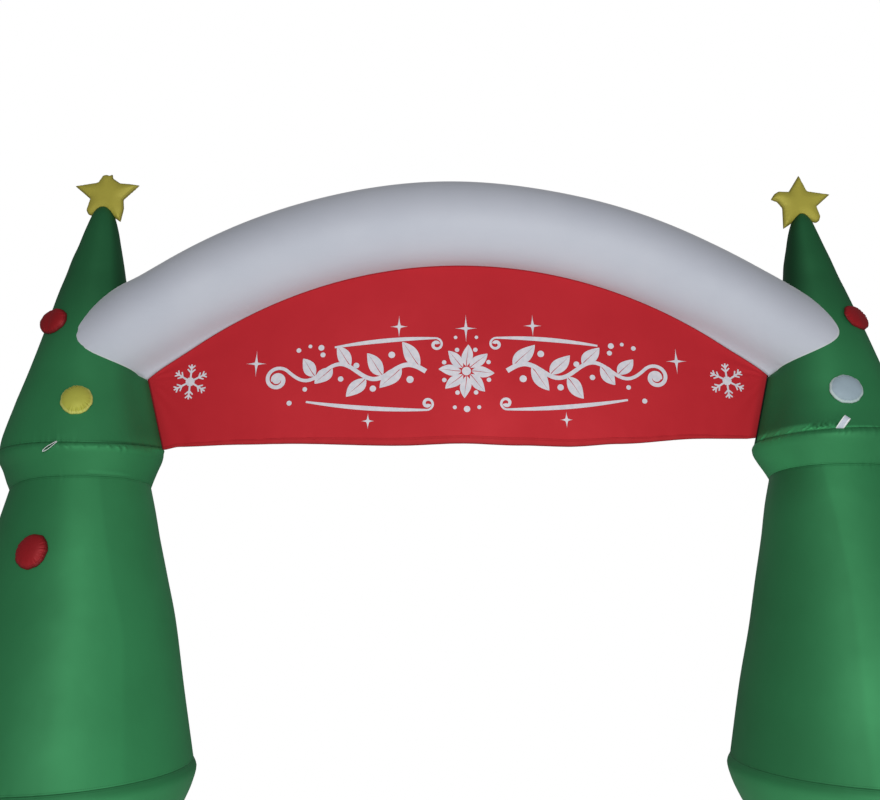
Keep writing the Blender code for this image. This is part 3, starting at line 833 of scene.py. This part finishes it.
def make_tube():
    turns = full_turn(TUBE_SIDES)
    left, right = (np.array([seam_angle(side, turn) for turn in turns]) for side in ("left", "right"))
    share = edge_spaced(TUBE_LENGTH, TUBE_LENGTH / TUBE_ROWS)[:, None] / TUBE_LENGTH
    angle = left + (right - left) * share
    turn = np.broadcast_to(turns, angle.shape)
    away = np.minimum(share, 1.0 - share) * TUBE_LENGTH
    # The saddle seam draws the tube in; broad soft unevenness runs along it.
    offset = 0.0010 * waves(turn, SADDLE_GATHERS) * np.exp(-away / 0.016) * blend(0.0, 0.004, away)
    broad = 0.0012 * np.sin(3.0 * turn + angle / 9.0) + 0.0008 * np.sin(2.0 * turn - angle / 4.0 + 1.3)
    offset = offset + broad * blend(0.02, 0.2, away)
    # Small gathers where the banner is sewn to the underside, but none on the seam.
    from_keel = 1.0 - np.cos(turn)
    by_seam = np.exp(-from_keel / 0.012)
    offset = offset * (1.0 - by_seam)
    by_seam = by_seam - np.exp(-from_keel / 0.0006)
    offset = offset - 0.0008 * by_seam * (1.0 + np.sin(angle * 4.1) * np.sin(angle * 1.3 + 2.0))
    points = np.stack([axis.reshape(angle.shape) for axis in tube_points(angle.ravel(), turn.ravel())])
    around = np.radians(angle)
    middle = np.stack((np.sin(around), np.zeros_like(around), np.cos(around))) * ARCH_RADIUS
    middle[2] += ARCH_CENTRE_Z
    outward = points - middle
    points = points + outward / np.linalg.norm(outward, axis=0) * offset
    layers = {"seam": away, "along": turn * TUBE_RADIUS}
    piece = closed_grid("arch_tube_cloth", *points, layers, MATERIALS["white"])
    outward_normals(piece)
    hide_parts("arch_tube")
    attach(piece, "root")


# ---- banner -----------------------------------------------------------------
BANNER_COLUMNS = 300
BANNER_LEVELS = 96
BANNER_WIDTH = 2.1           # about, for what is measured from its sides
BANNER_DROP = 0.5            # about, for what is measured from its hem
TOP_GAP = 0.0001             # under the tube, too thin to show light
TAIL_LENGTH = 0.020          # of the side hem, past the banner's right corner
HEM_STITCH = 0.0165          # from the hem's edge
HEM_X = np.array([point.x for point in HEM_POINTS])
HEM_Z = np.array([point.z for point in HEM_POINTS])


def hem_z(x):
    k = np.clip(np.searchsorted(HEM_X, x, "right") - 1, 0, len(HEM_X) - 2)
    return HEM_Z[k] + (HEM_Z[k + 1] - HEM_Z[k]) * blend(HEM_X[k], HEM_X[k + 1], x)


def top_z(x):
    angle = np.degrees(np.arcsin(np.clip(x / (ARCH_RADIUS - TUBE_RADIUS), -0.999, 0.999)))
    reach = underside_radius(angle) - TOP_GAP
    return ARCH_CENTRE_Z + np.sqrt(reach**2 - x**2)


def cloth_y(x, z):
    """How far the banner's middle stands off its plane, at points of it."""
    low = banner_side_x("left", z)
    high = banner_side_x("right", z)
    share = np.clip((x - low) / (high - low), 0.0, 1.0)
    rise = np.clip((z - hem_z(x)) / (top_z(x) - hem_z(x)), 0.0, 1.0)
    sewn = np.sqrt(np.sin(np.pi * share)) * (1.0 - rise**2)
    y = -BANNER_BILLOW * sewn * (0.62 + 0.30 * np.sin(4.0 * share * np.pi + 1.1))
    held = np.minimum(share, 1.0 - share)
    # Soft tension folds that run out of the two upper corners.
    for side in ("left", "right"):
        corner = spring_point(side)
        across = inward(side) * (x - corner.x)
        below = corner.z - z
        heading = np.arctan2(below, np.maximum(across, 1e-6))
        reach = np.hypot(across, below)
        folds = np.sin(heading * 17.0 + 0.6) * np.exp(-reach / 0.20) * blend(0.0, 0.05, reach)
        y = y - 0.0011 * folds * blend(0.0, 0.03, held * BANNER_WIDTH)
    # Small gathers along the hem.
    hem = np.exp(-np.maximum(0.0, z - hem_z(x)) / 0.03)
    return y + 0.0007 * hem * waves(x, ((0.6, 71.0, 0.4), (0.5, 113.0, 2.2))) * blend(0.0, 0.02, held)


def banner_place(share, level):
    """Points of the banner's plane, from its lower left corner at 0, 0."""
    left = BANNER_CORNER["left"].x
    x_low = left + (BANNER_CORNER["right"].x - left) * share
    z_low = hem_z(np.minimum(x_low, HEM_X[-1]))
    angle = SPRING_ANGLE * (2.0 * share - 1.0)
    reach = underside_radius(angle) - TOP_GAP
    x_high = reach * np.sin(np.radians(angle))
    z_high = ARCH_CENTRE_Z + reach * np.cos(np.radians(angle))
    tail = blend(0.9975, 1.0, share) * TAIL_LENGTH
    run = np.hypot(x_high - x_low, z_high - z_low)
    x_low = x_low - (x_high - x_low) / run * tail
    z_low = z_low - (z_high - z_low) / run * tail
    return x_low + (x_high - x_low) * level, z_low + (z_high - z_low) * level, run


def make_banner():
    share = np.linspace(0.0, 1.0, BANNER_COLUMNS + 1)
    ends = np.array((0.0006, 0.0015, 0.0025, 0.0042))
    share = np.unique(np.concatenate((share, ends, 1.0 - ends)))
    fine = np.array((0.0, 0.002, 0.004, 0.012, HEM_STITCH, HEM_HEIGHT, 0.0195, 0.022)) / BANNER_DROP
    level = np.concatenate((fine, np.linspace(fine[-1] + 0.012, 1.0, BANNER_LEVELS)))
    grid_share, grid_level = np.meshgrid(share, level, indexing="ij")
    x, z, run = banner_place(grid_share, grid_level)
    from_hem = grid_level * BANNER_DROP
    y = cloth_y(x, z)
    in_hem = 1.0 - blend(HEM_HEIGHT - 0.0015, HEM_HEIGHT + 0.0015, from_hem)
    half = (CLOTH + (HEM_CLOTH - CLOTH) * in_hem) / 2.0
    half = half - 0.0002 * hump(from_hem, HEM_STITCH, 0.0012)
    half = half * (0.35 + 0.65 * blend(0.0, 0.003, from_hem))
    columns, levels = x.shape
    front, back = (np.stack((x, y + sign * half, z), axis=-1).reshape(-1, 3) for sign in (-1.0, 1.0))
    count = len(front)
    faces = grid_faces(columns, levels, closed=False)
    faces += grid_faces(columns, levels, closed=False, start=count, flip=True)
    edge = list(range(levels))
    edge += [i * levels + levels - 1 for i in range(1, columns)]
    edge += [(columns - 1) * levels + k for k in range(levels - 2, -1, -1)]
    edge += [i * levels for i in range(columns - 2, 0, -1)]
    faces += [(a, b, count + b, count + a) for a, b in zip(edge, edge[1:] + edge[:1])]
    to_side = np.minimum(grid_share, 1.0 - grid_share) * BANNER_WIDTH
    to_top = (1.0 - grid_level) * run
    to_hem_line = np.abs(from_hem - HEM_HEIGHT) + 0.0027
    seam = np.minimum(np.minimum(to_side, to_top + 0.0030), to_hem_line)
    # Painted shadow along the sides, where the trees meet the banner, and painted shade spreading in from
    # them, most on the right.
    right = grid_share > 0.5
    side_shadow = 0.60 * (1.0 - blend(0.003, 0.007, to_side))
    side_shade = 0.14 * (1.0 - blend(0.006, 0.035, to_side)) * np.where(right, 1.5, 1.0)
    tint = -np.where(right, 1.30, 0.8) * (side_shadow + side_shade)
    # Darker along the hem's lower edge.
    tint = tint - 0.50 * (1.0 - blend(0.0020, 0.0050, from_hem))
    layers = {"seam": seam, "along": np.where(to_side < to_top, z, x), "hem": in_hem, "tint": tint}
    layers = {name: np.tile(values.ravel(), 2) for name, values in layers.items()}
    piece = add_mesh("banner_cloth", np.concatenate((front, back)), faces, MATERIALS["banner"], layers)
    outward_normals(piece)
    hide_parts("banner")
    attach(piece, "root")
    return piece


# ---- the print: a design of its own -----------------------------------------
PRINT_LIFT = 0.0005          # off the cloth
LAYER_LIFT = 0.00003         # of each motif over the one before it
LAYERS = 12
STEM_POINTS = 90
CURL_POINTS = 60
PRINT_CENTRE = Point(0.030, 2.276)
PRINT_SCALE = Point(1.06, 1.04)
BERRIES = (
    (0.485, 0.085, 0.0100), (0.522, 0.090, 0.0065), (0.560, 0.076, 0.0080),
    (0.585, -0.106, 0.0085), (0.035, 0.118, 0.0060), (0.040, -0.124, 0.0065),
)
SPARKLES = ((0.225, 0.158, 0.038, 0.030), (0.700, 0.030, 0.044, 0.033), (0.325, -0.168, 0.026, 0.020))


def heading_up(turn):
    """The direction at an angle from straight up, clockwise."""
    return np.array((math.sin(turn), math.cos(turn)))


class Print:
    """Flat shapes in the banner's plane, laid on its cloth at the end."""

    def __init__(self):
        self.points = []
        self.layers = []
        self.faces = []
        self.layer = 0

    def _add(self, points, faces):
        start = len(self.points)
        self.points += [tuple(p) for p in points]
        self.layers += [self.layer] * len(points)
        self.faces += [tuple(start + k for k in face) for face in faces]
        self.layer += 1

    def ribbon(self, line, widths):
        """A stroke along a line of points, as wide at each as widths says."""
        line = np.asarray(line, float)
        heading = np.gradient(line, axis=0)
        heading /= np.maximum(np.linalg.norm(heading, axis=1), 1e-9)[:, None]
        side = np.stack((-heading[:, 1], heading[:, 0]), axis=-1) * np.asarray(widths)[:, None] / 2
        n = len(line)
        faces = [(k, n + k, n + k + 1, k + 1) for k in range(n - 1)]
        self._add(np.concatenate((line + side, line - side)), faces)

    def fan(self, x, z, turn, reach):
        """A shape about a centre: its reach at each turn round it."""
        ring = np.stack((x + reach * np.sin(turn), z + reach * np.cos(turn)), axis=-1)
        n = len(turn)
        self._add([*ring, (x, z)], [(k, (k + 1) % n, n) for k in range(n)])

    def disc(self, x, z, radius):
        self.fan(x, z, np.pi / 2 - full_turn(28), radius)

    def leaf(self, x, z, angle, length, width):
        """A pointed leaf in two halves, parted by a thin rib."""
        t = np.linspace(0.0, 1.0, 22)
        across = width / 2.0 * np.sin(np.pi * t**0.85) ** 0.9
        rib = 0.0014 * (1.0 - t)
        turn = math.radians(angle)
        beside = np.array((math.cos(turn), -math.sin(turn)))
        middle = np.array((x, z)) + np.outer(t * length, heading_up(turn))
        bend = 0.10 * length * np.sin(np.pi * t * 0.5) ** 2
        n = len(t)
        for sign in (1.0, -1.0):
            inner = middle + np.outer(sign * rib + bend, beside)
            outer = middle + np.outer(sign * np.maximum(across, rib) + bend, beside)
            faces = [(k, k + 1, n + k + 1, n + k) for k in range(n - 1)]
            self._add(np.concatenate((inner, outer)), faces)

    def sparkle(self, x, z, tall, wide):
        """Four thin arms that taper to points."""
        t = np.linspace(0.0, 1.0, 14)
        for dx, dz, reach in ((0, 1, tall), (0, -1, tall), (1, 0, wide), (-1, 0, wide)):
            line = np.stack((x + dx * reach * t, z + dz * reach * t), axis=-1)
            self.ribbon(line, 0.012 * (1.0 - t) ** 1.7 + 0.0004)


def spiral(x, z, start, sweep, outer, inner):
    """Points of a spiral from its outer end in, angles in degrees from up."""
    t = np.linspace(0.0, 1.0, CURL_POINTS)
    turn = np.radians(start + sweep * t)
    reach = outer * (inner / outer) ** t
    return np.stack((x + reach * np.sin(turn), z + reach * np.cos(turn)), axis=-1)


def snowflake(art, x, z, reach, lean):
    ripple = np.where(np.arange(24) % 2 == 0, 0.0165, 0.0150)
    art.fan(x, z, math.radians(lean) + full_turn(24), ripple)
    for arm in range(6):
        turn = math.radians(lean + 60 * arm)
        middle = np.array((x, z))
        t = np.linspace(0.0, 1.0, 16)
        art.ribbon(middle + np.outer(t * reach, heading_up(turn)), 0.0072 - 0.0018 * t)
        t = np.linspace(0.0, 1.0, 9)
        for place, length in ((0.52, 0.30), (0.76, 0.26)):
            root = middle + heading_up(turn) * reach * place
            for sign in (1.0, -1.0):
                way = heading_up(turn + sign * math.radians(47))
                art.ribbon(root + np.outer(t * reach * length, way), 0.0060 - 0.0014 * t)


def vine(art, sign):
    """A waving stem with leaves and berries, from beside the middle outwards."""
    t = np.linspace(0.0, 1.0, STEM_POINTS)
    x = sign * (0.135 + 0.455 * t)
    z = 0.030 * np.sin(4.0 * np.pi * t) * (0.75 + 0.25 * t)
    art.ribbon(np.stack((x, z), axis=-1), 0.0170 - 0.006 * t)
    for k, place in enumerate((0.05, 0.19, 0.32, 0.44, 0.56, 0.69, 0.82)):
        at = int(place * (STEM_POINTS - 1))
        up = 1.0 if k % 2 == 0 else -1.0
        art.leaf(x[at], z[at] + up * 0.005, sign * (90 - up * 50), 0.104 - 0.005 * k, 0.050 - 0.001 * k)
        art.disc(x[at] + sign * 0.032, z[at] - up * 0.040, 0.0120 - 0.0007 * k)
    curl = spiral(sign * 0.6277, -0.0264, -sign * 55, sign * 520, 0.046, 0.012)
    art.ribbon(curl, np.linspace(0.011, 0.017, CURL_POINTS))
    art.disc(sign * 0.630, -0.0260, 0.0145)


def scroll(art, sign, start, span, bow, height, curl):
    """An open scroll: a thin stroke outwards, and a spiral at its inner end."""
    t = np.linspace(0.0, 1.0, CURL_POINTS)
    line = np.stack((sign * (start + span * t), height - bow * t**2), axis=-1)
    art.ribbon(line, 0.0065 + 0.0085 * np.sin(np.pi * t))
    art.ribbon(spiral(*curl), np.linspace(0.0065, 0.013, CURL_POINTS))


def make_print():
    art = Print()
    # A round rosette of petals in the middle.
    for k in range(8):
        art.leaf(*(0.017 * heading_up(math.radians(45 * k))), 45 * k, 0.076, 0.038)
        art.disc(*(0.080 * heading_up(math.radians(22.5 + 45 * k))), 0.0075)
    art.disc(0.0, 0.0, 0.0150)
    for sign in (1.0, -1.0):
        vine(art, sign)
        # An open scroll above the vine and one below it.
        scroll(art, sign, 0.10, 0.34, 0.030, 0.116, (sign * 0.100, 0.093, 0, -sign * 430, 0.023, 0.007))
        scroll(art, sign, 0.13, 0.40, -0.030, -0.132, (sign * 0.130, -0.110, 180, sign * 430, 0.022, 0.007))
        for x, z, radius in BERRIES:
            art.disc(sign * x, z, radius)
        for x, z, tall, wide in SPARKLES:
            art.sparkle(sign * x, z, tall, wide)
    art.sparkle(0.0, 0.150, 0.048, 0.036)
    art.disc(0.0, -0.130, 0.0105)
    art.points = [
        (PRINT_CENTRE.x + PRINT_SCALE.x * x, PRINT_CENTRE.z + PRINT_SCALE.z * z) for x, z in art.points
    ]
    snowflake(art, -0.941, 2.244, 0.0625, 2.0)
    snowflake(art, 0.944, 2.236, 0.0625, -2.0)
    x, z = np.array(art.points).T
    lift = CLOTH / 2.0 + PRINT_LIFT + LAYER_LIFT * (np.array(art.layers) % LAYERS)
    points = np.stack((x, cloth_y(x, z) - lift, z), axis=-1)
    piece = add_mesh("banner_print", points, art.faces, MATERIALS["print"])
    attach(piece, "root")
    return piece


# ---- stars ------------------------------------------------------------------
STAR_HALF_DEPTH = 0.021
STAR_EDGE = 0.0022           # step along the edge
STAR_STEP = 0.0040           # of the points inside it
STAR_RIM = 0.0018            # how far in the first row of points is
STAR_CLEAR = 0.0024          # and how far in the even points inside it start
STAR_CREST = 0.042
TIP_GAP = 0.0007             # between a star and the cone's tip
TIP_SIDES = 72
TIP_DEPTH = 0.20             # how far under the star's centre the hollow starts


def star_edge(side):
    """The star's outline in fine steps, its corners eased a little."""
    corners = [heading_up(math.radians(angle)) * reach for angle, reach in STAR_OUTLINES[side]]
    line = []
    for a, b in zip(corners, corners[1:] + corners[:1]):
        count = max(2, round(np.linalg.norm(b - a) / STAR_EDGE))
        line += [a + (b - a) * k / count for k in range(count)]
    line = np.array(line)
    for _ in range(3):
        line = 0.5 * line + 0.25 * (np.roll(line, 1, axis=0) + np.roll(line, -1, axis=0))
    return line


def make_star(side):
    a = star_edge(side)
    b = np.roll(a, -1, axis=0)
    n = len(a)

    def to_edge(points):
        d = b - a
        rel = points[:, None, :] - a[None]
        t = np.clip((rel * d).sum(-1) / (d * d).sum(-1), 0.0, 1.0)
        return np.sqrt(((rel - t[..., None] * d) ** 2).sum(-1))

    def within(points):
        x, z = points[:, None, 0], points[:, None, 1]
        crosses = (a[:, 1] > z) != (b[:, 1] > z)
        with np.errstate(divide="ignore", invalid="ignore"):
            at = a[:, 0] + (z - a[:, 1]) / (b[:, 1] - a[:, 1]) * (b[:, 0] - a[:, 0])
        return (crosses & (x < at)).sum(1) % 2 == 1

    xs, zs = (np.arange(a[:, k].min(), a[:, k].max(), STAR_STEP) for k in (0, 1))
    inner = np.array([[x + (row % 2) * STAR_STEP / 2, z] for row, z in enumerate(zs) for x in xs])
    inner = inner[within(inner)]
    inner = inner[to_edge(inner).min(1) > STAR_CLEAR]
    rim = a * (1.0 - STAR_RIM / np.linalg.norm(a, axis=1))[:, None]
    flat = [Vector(map(float, p)) for p in np.concatenate((a, rim, inner))]
    found = delaunay_2d_cdt(flat, [(k, (k + 1) % n) for k in range(n)], [], 1, 1e-7)
    points = np.array([tuple(v) for v in found[0]])
    away = to_edge(points)
    nearest = away.min(1)
    along = away.argmin(1) * STAR_EDGE
    swell = np.clip((nearest - STAR_EDGE * 0.4) / STAR_CREST, 0.0, 1.0)
    depth = STAR_HALF_DEPTH * np.sqrt(swell * (2.0 - swell))
    gathers = waves(along, ((0.5, 410.0, 0.0), (0.5, 617.0, 1.0)))
    depth = depth * (1.0 + 0.22 * gathers * np.exp(-nearest / 0.007))
    depth = np.where(nearest < 1e-6, 0.0, depth + 0.0004)
    centre = STAR_CENTRE[side]
    vertices = []
    faces = []
    for sign in (-1.0, 1.0):
        start = len(vertices)
        vertices += [(centre.x + p[0], sign * d, centre.z + p[1]) for p, d in zip(points, depth)]
        for face in found[2]:
            face = tuple(start + k for k in face)
            faces.append(face if sign < 0 else face[::-1])
    layers = {"seam": np.tile(nearest, 2), "along": np.tile(along, 2)}
    piece = add_mesh(f"{side}_star_cloth", vertices, faces, MATERIALS["star"], layers)
    outward_normals(piece, weld=True)
    hollow_star(piece, side)
    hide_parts(f"{side}_star")
    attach(piece, "root")


def hollow_star(piece, side):
    """Cuts the star clear of the cone's tip, which it is sewn round."""
    cone = PROFILES[side]["tier_top"]
    keep = cone.height > STAR_CENTRE[side].z - TIP_DEPTH
    height = cone.height[keep]
    radius = cone.radius[keep] + TIP_GAP
    vertices = []
    for h, c, r in zip(height[:-1], cone.centre[keep][:-1], radius[:-1]):
        vertices += [(c + r * math.cos(t), r * math.sin(t), h) for t in full_turn(TIP_SIDES)]
    rows = len(height) - 1
    faces = grid_faces(rows, TIP_SIDES, closed=True)
    vertices.append((cone.centre[-1], 0.0, height[-1] + TIP_GAP))
    top = (rows - 1) * TIP_SIDES
    faces += [(top + k, top + (k + 1) % TIP_SIDES, rows * TIP_SIDES) for k in range(TIP_SIDES)]
    faces.append(tuple(range(TIP_SIDES))[::-1])
    cutter = add_mesh("cutter", vertices, faces, MATERIALS["star"])
    outward_normals(cutter)
    boolean = piece.modifiers.new("hollow", "BOOLEAN")
    boolean.operation = "DIFFERENCE"
    boolean.solver = "EXACT"
    boolean.object = cutter
    graph = bpy.context.evaluated_depsgraph_get()
    cut = bpy.data.meshes.new_from_object(piece.evaluated_get(graph))
    piece.modifiers.clear()
    piece.data = cut
    piece.data.shade_smooth()
    bpy.data.objects.remove(cutter)


# ---- discs ------------------------------------------------------------------
DISC_SIDES = 144
DISC_RINGS = (*np.linspace(0.0, 0.86, 15)[1:], 0.90, 0.94, 0.965, 0.985, 1.0)
DISC_GAP = 0.0006            # off the cone
SLOPE_STEP = 0.01            # up and down, to find the slope of a tree's cloth


def cone_frame(side, panel, height, azimuth):
    """A point on a tree's cloth, and its directions across, up and outward."""
    shape = PROFILES[side][panel]
    steps = (SLOPE_STEP, -SLOPE_STEP)
    above, below = (np.interp(height + step, shape.height, shape.radius) for step in steps)
    turn = math.radians(azimuth)
    ahead = np.array((math.sin(turn), -math.cos(turn), 0.0))
    across = np.array((math.cos(turn), math.sin(turn), 0.0))
    up = np.array((0.0, 0.0, 1.0)) + ahead * (above - below) / (2.0 * SLOPE_STEP)
    up = up / np.linalg.norm(up)
    centre = np.array((np.interp(height, shape.height, shape.centre), 0.0, height))
    centre[2] += np.interp(height, shape.height, shape.rise) * math.cos(turn)
    point = centre + ahead * np.interp(height, shape.height, shape.radius)
    return point, across, up, np.cross(across, up)


def clear_of_cone(side, panel, point):
    """The point, moved level out of a tree's cloth where it lies in it."""
    shape = PROFILES[side][panel]
    centre = np.interp(point[2], shape.height, shape.centre)
    away = np.array((point[0] - centre, point[1]))
    reach = np.interp(point[2], shape.height, shape.radius) + DISC_GAP
    away = away * max(1.0, reach / np.linalg.norm(away))
    return np.array((centre + away[0], away[1], point[2]))


def make_disc(disc, phase):
    """A small pillow with a puckered rim, flat on its back against the cone."""
    name = f"{disc.side}_bauble_{disc.label}"
    point, across, up, outward = cone_frame(disc.side, disc.panel, disc.height, disc.azimuth)
    set_round = math.radians(disc.turn)
    face = outward * math.cos(set_round) + across * math.sin(set_round)
    wide = across * math.cos(set_round) - outward * math.sin(set_round)
    turn = full_turn(DISC_SIDES)
    wobble = waves(turn, ((0.012, 7, phase), (0.010, 12, 2 * phase)))
    uneven = waves(turn, ((0.5, 4, phase), (0.5, 7, 2.0 * phase), (0.4, 11, 0.7)))
    gathers = waves(turn, ((0.5, 23, phase), (0.4, 37, 2.0 * phase), (0.4, 52, 0.7)))
    gathers = gathers * (0.6 + 0.6 * np.sin(2.0 * turn + phase))
    vertices = []
    faces = []
    seam = []
    along = []
    for front in (True, False):
        start = len(vertices)
        middle = clear_of_cone(disc.side, disc.panel, point)
        vertices.append(middle + face * (disc.bulge if front else 0.0))
        seam.append(disc.width / 2)
        along.append(0.0)
        for ring in DISC_RINGS:
            swell = (1.0 - ring**2.6) ** 0.60
            for k, t in enumerate(turn):
                reach = ring / 2.0 * (1.0 + (wobble[k] + 0.010 * gathers[k]) * ring**3)
                flat = point + wide * (disc.width * reach * math.sin(t))
                flat = flat + up * (disc.tall * reach * math.cos(t))
                base = clear_of_cone(disc.side, disc.panel, flat)
                crease = 0.07 * uneven[k] * ring**4 + disc.pleats * gathers[k] * blend(0.62, 0.92, ring)
                height = disc.bulge * swell * (1.0 + crease) + DISC_GAP
                vertices.append(base + face * (height if front and ring < 1.0 else 0.0))
                seam.append((1.0 - ring) * disc.width / 2)
                along.append(t * disc.width / 2)
        faces += [(start, start + 1 + k, start + 1 + (k + 1) % DISC_SIDES) for k in range(DISC_SIDES)]
        faces += grid_faces(len(DISC_RINGS), DISC_SIDES, closed=True, start=start + 1)
    # Light and shade painted onto the disc.
    layers = {"seam": seam, "along": along, "tint": [disc.tint] * len(vertices)}
    piece = add_mesh(f"{name}_cloth", vertices, faces, MATERIALS[f"{disc.cloth} disc"], layers)
    outward_normals(piece, weld=True)
    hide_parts(name)
    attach(piece, "root")


# ---- tether loops -----------------------------------------------------------
LOOP_STEPS = 40
# Half the tape's section, across it and through it, with eased edges.
TAPE_HALF = (
    (-1.0, 0.0), (-0.97, 0.7), (-0.90, 1.0), (-0.5, 0.92), (0.0, 1.0), (0.5, 0.92), (0.90, 1.0), (0.97, 0.7),
)
TAPE_SECTION = (*TAPE_HALF, *((-wide, -thick) for wide, thick in TAPE_HALF))


def make_tether(tether):
    """A loop of webbing whose two ends go into the flare seam."""
    name = f"{tether.side}_tether_loop"
    height = TOP_ROWS[tether.side][0].height
    root, across, up, outward = map(Vector, cone_frame(tether.side, "tier_top", height, tether.azimuth))
    turn = math.radians(tether.turn)
    lean = math.radians(tether.lean)
    flat = across * math.sin(turn) + up * math.cos(turn)
    along = flat * math.cos(lean) + outward * math.sin(lean)
    if tether.wide:
        wide_way = Vector(tether.wide).normalized()
        along = (along - wide_way * along.dot(wide_way)).normalized()
        standoff = WEBBING_WIDTH / 2.0
        sink = LOOP_SINK
        skew = 0.0
    else:
        wide_way = outward.cross(flat)
        standoff = tether.height / 4.0
        sink = standoff + LOOP_SINK
        skew = -wide_way.z / along.z     # its ends are caught level in the seam
    open_way = wide_way.cross(along)
    centres = []
    skews = []
    for k in range(2 * LOOP_STEPS + 1):
        way = k / LOOP_STEPS - 1.0
        reach = 1.0 - abs(way) ** 1.6
        spread = tether.height / 2.0 * math.sin(math.pi * way) * (1.0 + 0.25 * (1.0 - abs(way)))
        spread += way * (WEBBING_THICKNESS / 2.0 + SEAM_GAP)
        centre = root + along * (tether.length * reach) + open_way * spread
        centres.append(centre + outward * (standoff - sink * abs(way) ** 4))
        skews.append(skew * abs(way) ** 1.6)
    vertices = []
    seam = []
    run = []
    length = 0.0
    for k, centre in enumerate(centres):
        before = centres[max(k - 1, 0)]
        after = centres[min(k + 1, len(centres) - 1)]
        normal = (after - before).normalized().cross(wide_way).normalized()
        if k:
            length += (centre - centres[k - 1]).length
        for wide, thick in TAPE_SECTION:
            aside = (wide_way + along * skews[k]) * (wide * WEBBING_WIDTH / 2.0)
            vertices.append(centre + aside + normal * (thick * WEBBING_THICKNESS / 2.0))
            seam.append((1.0 - abs(wide)) * WEBBING_WIDTH / 2.0)
            run.append(length)
    sides = len(TAPE_SECTION)
    faces = grid_faces(len(centres), sides, closed=True)
    faces.append(tuple(range(sides))[::-1])
    faces.append(tuple((len(centres) - 1) * sides + k for k in range(sides)))
    piece = add_mesh(f"{name}_tape", vertices, faces, MATERIALS["webbing"], {"seam": seam, "along": run})
    outward_normals(piece)
    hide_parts(name)
    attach(piece, "root")


# ---- camera, light and floor ------------------------------------------------
CAMERA_PLACE = (-0.062, -3.0, 1.60)
CAMERA_PITCH = 0.29          # radians, upwards
CAMERA_ROLL = -0.006
CAMERA_LENS = 35.59          # millimetres, on a sensor 36 wide
CAMERA_SHIFT = -0.1
ROOM_LIGHT = 0.175
Lamp = namedtuple("Lamp", "name place aim size power")
LAMPS = (
    Lamp("key", (0.0, -3.3, 2.3), (0.0, 0.0, 2.2), (0.9, 0.6), 52.0),
    Lamp("side", (1.5, -3.3, 0.9), (0.4, 0.0, 1.5), (1.1, 0.7), 10.0),
    Lamp("bounce", (0.0, -0.9, 0.05), (0.0, -0.9, 2.0), (1.6, 1.0), 12.0),
    Lamp("back", (0.0, 3.6, 3.4), (0.0, 0.0, 1.4), (3.0, 1.5), 6.0),
)
FLOOR_Z = -0.002
FLOOR_CORNERS = ((-6.0, -5.0), (6.0, -5.0), (6.0, 3.6), (-6.0, 3.6))


def make_camera():
    data = bpy.data.cameras.new("camera")
    camera = bpy.data.objects.new("camera", data)
    bpy.context.scene.collection.objects.link(camera)
    bpy.context.scene.camera = camera
    data.sensor_width = 36.0
    data.lens = CAMERA_LENS
    data.shift_y = CAMERA_SHIFT
    ahead = Vector((0.0, math.cos(CAMERA_PITCH), math.sin(CAMERA_PITCH)))
    up = Vector((0.0, -math.sin(CAMERA_PITCH), math.cos(CAMERA_PITCH)))
    right = Vector((1.0, 0.0, 0.0))
    turned_right = right * math.cos(CAMERA_ROLL) + up * math.sin(CAMERA_ROLL)
    turned_up = up * math.cos(CAMERA_ROLL) - right * math.sin(CAMERA_ROLL)
    matrix = Matrix((turned_right, turned_up, -ahead)).transposed().to_4x4()
    matrix.translation = Vector(CAMERA_PLACE)
    camera.matrix_world = matrix


def add_lamp(lamp):
    light = bpy.data.lights.new(lamp.name, "AREA")
    light.shape = "RECTANGLE"
    light.size, light.size_y = lamp.size
    light.energy = lamp.power
    obj = bpy.data.objects.new(lamp.name, light)
    obj.location = lamp.place
    obj.rotation_euler = (Vector(lamp.aim) - Vector(lamp.place)).to_track_quat("-Z", "Y").to_euler()
    obj.visible_camera = False
    bpy.context.scene.collection.objects.link(obj)


def make_world():
    """A soft even room light, and plain white where the camera sees past it all."""
    world = bpy.data.worlds.new("studio")
    bpy.context.scene.world = world
    world.use_nodes = True
    tree = world.node_tree
    room = tree.nodes["Background"]
    room.inputs[0].default_value = (0.95, 0.97, 1.0, 1.0)
    room.inputs[1].default_value = ROOM_LIGHT
    seen = tree.nodes.new("ShaderNodeBackground")
    seen.inputs[0].default_value = (1.0, 1.0, 1.0, 1.0)
    path = tree.nodes.new("ShaderNodeLightPath")
    mixed = tree.nodes.new("ShaderNodeMixShader")
    tree.links.new(path.outputs["Is Camera Ray"], mixed.inputs[0])
    tree.links.new(room.outputs[0], mixed.inputs[1])
    tree.links.new(seen.outputs[0], mixed.inputs[2])
    tree.links.new(mixed.outputs[0], tree.nodes["World Output"].inputs[0])


def make_floor():
    """A pale floor with a weak glow of its own, which keeps it from going dark behind."""
    nodes = Nodes("floor")
    grain = nodes.noise(nodes.place(), 6.0, 4.0)
    material = nodes.shade({
        "Base Color": nodes.mix(grain, (0.90, 0.90, 0.90), (0.93, 0.93, 0.93)),
        "Roughness": 0.85,
        "Emission Color": (1.0, 1.0, 1.0, 1.0),
        "Emission Strength": 0.16,
    })
    floor = add_mesh("floor", [(x, y, FLOOR_Z) for x, y in FLOOR_CORNERS], [(0, 1, 2, 3)], material)


def main():
    bpy.context.scene.view_settings.view_transform = "Standard"
    make_camera()
    make_world()
    for lamp in LAMPS:
        add_lamp(lamp)
    make_floor()
    for side in ("left", "right"):
        for panel in PANELS[side]:
            make_panel(side, panel)
        make_star(side)
    make_tube()
    banner = make_banner()
    prints = make_print()
    for place, disc in enumerate(DISCS):
        make_disc(disc, 0.9 + 1.7 * place)
    for tether in TETHERS:
        make_tether(tether)


main()
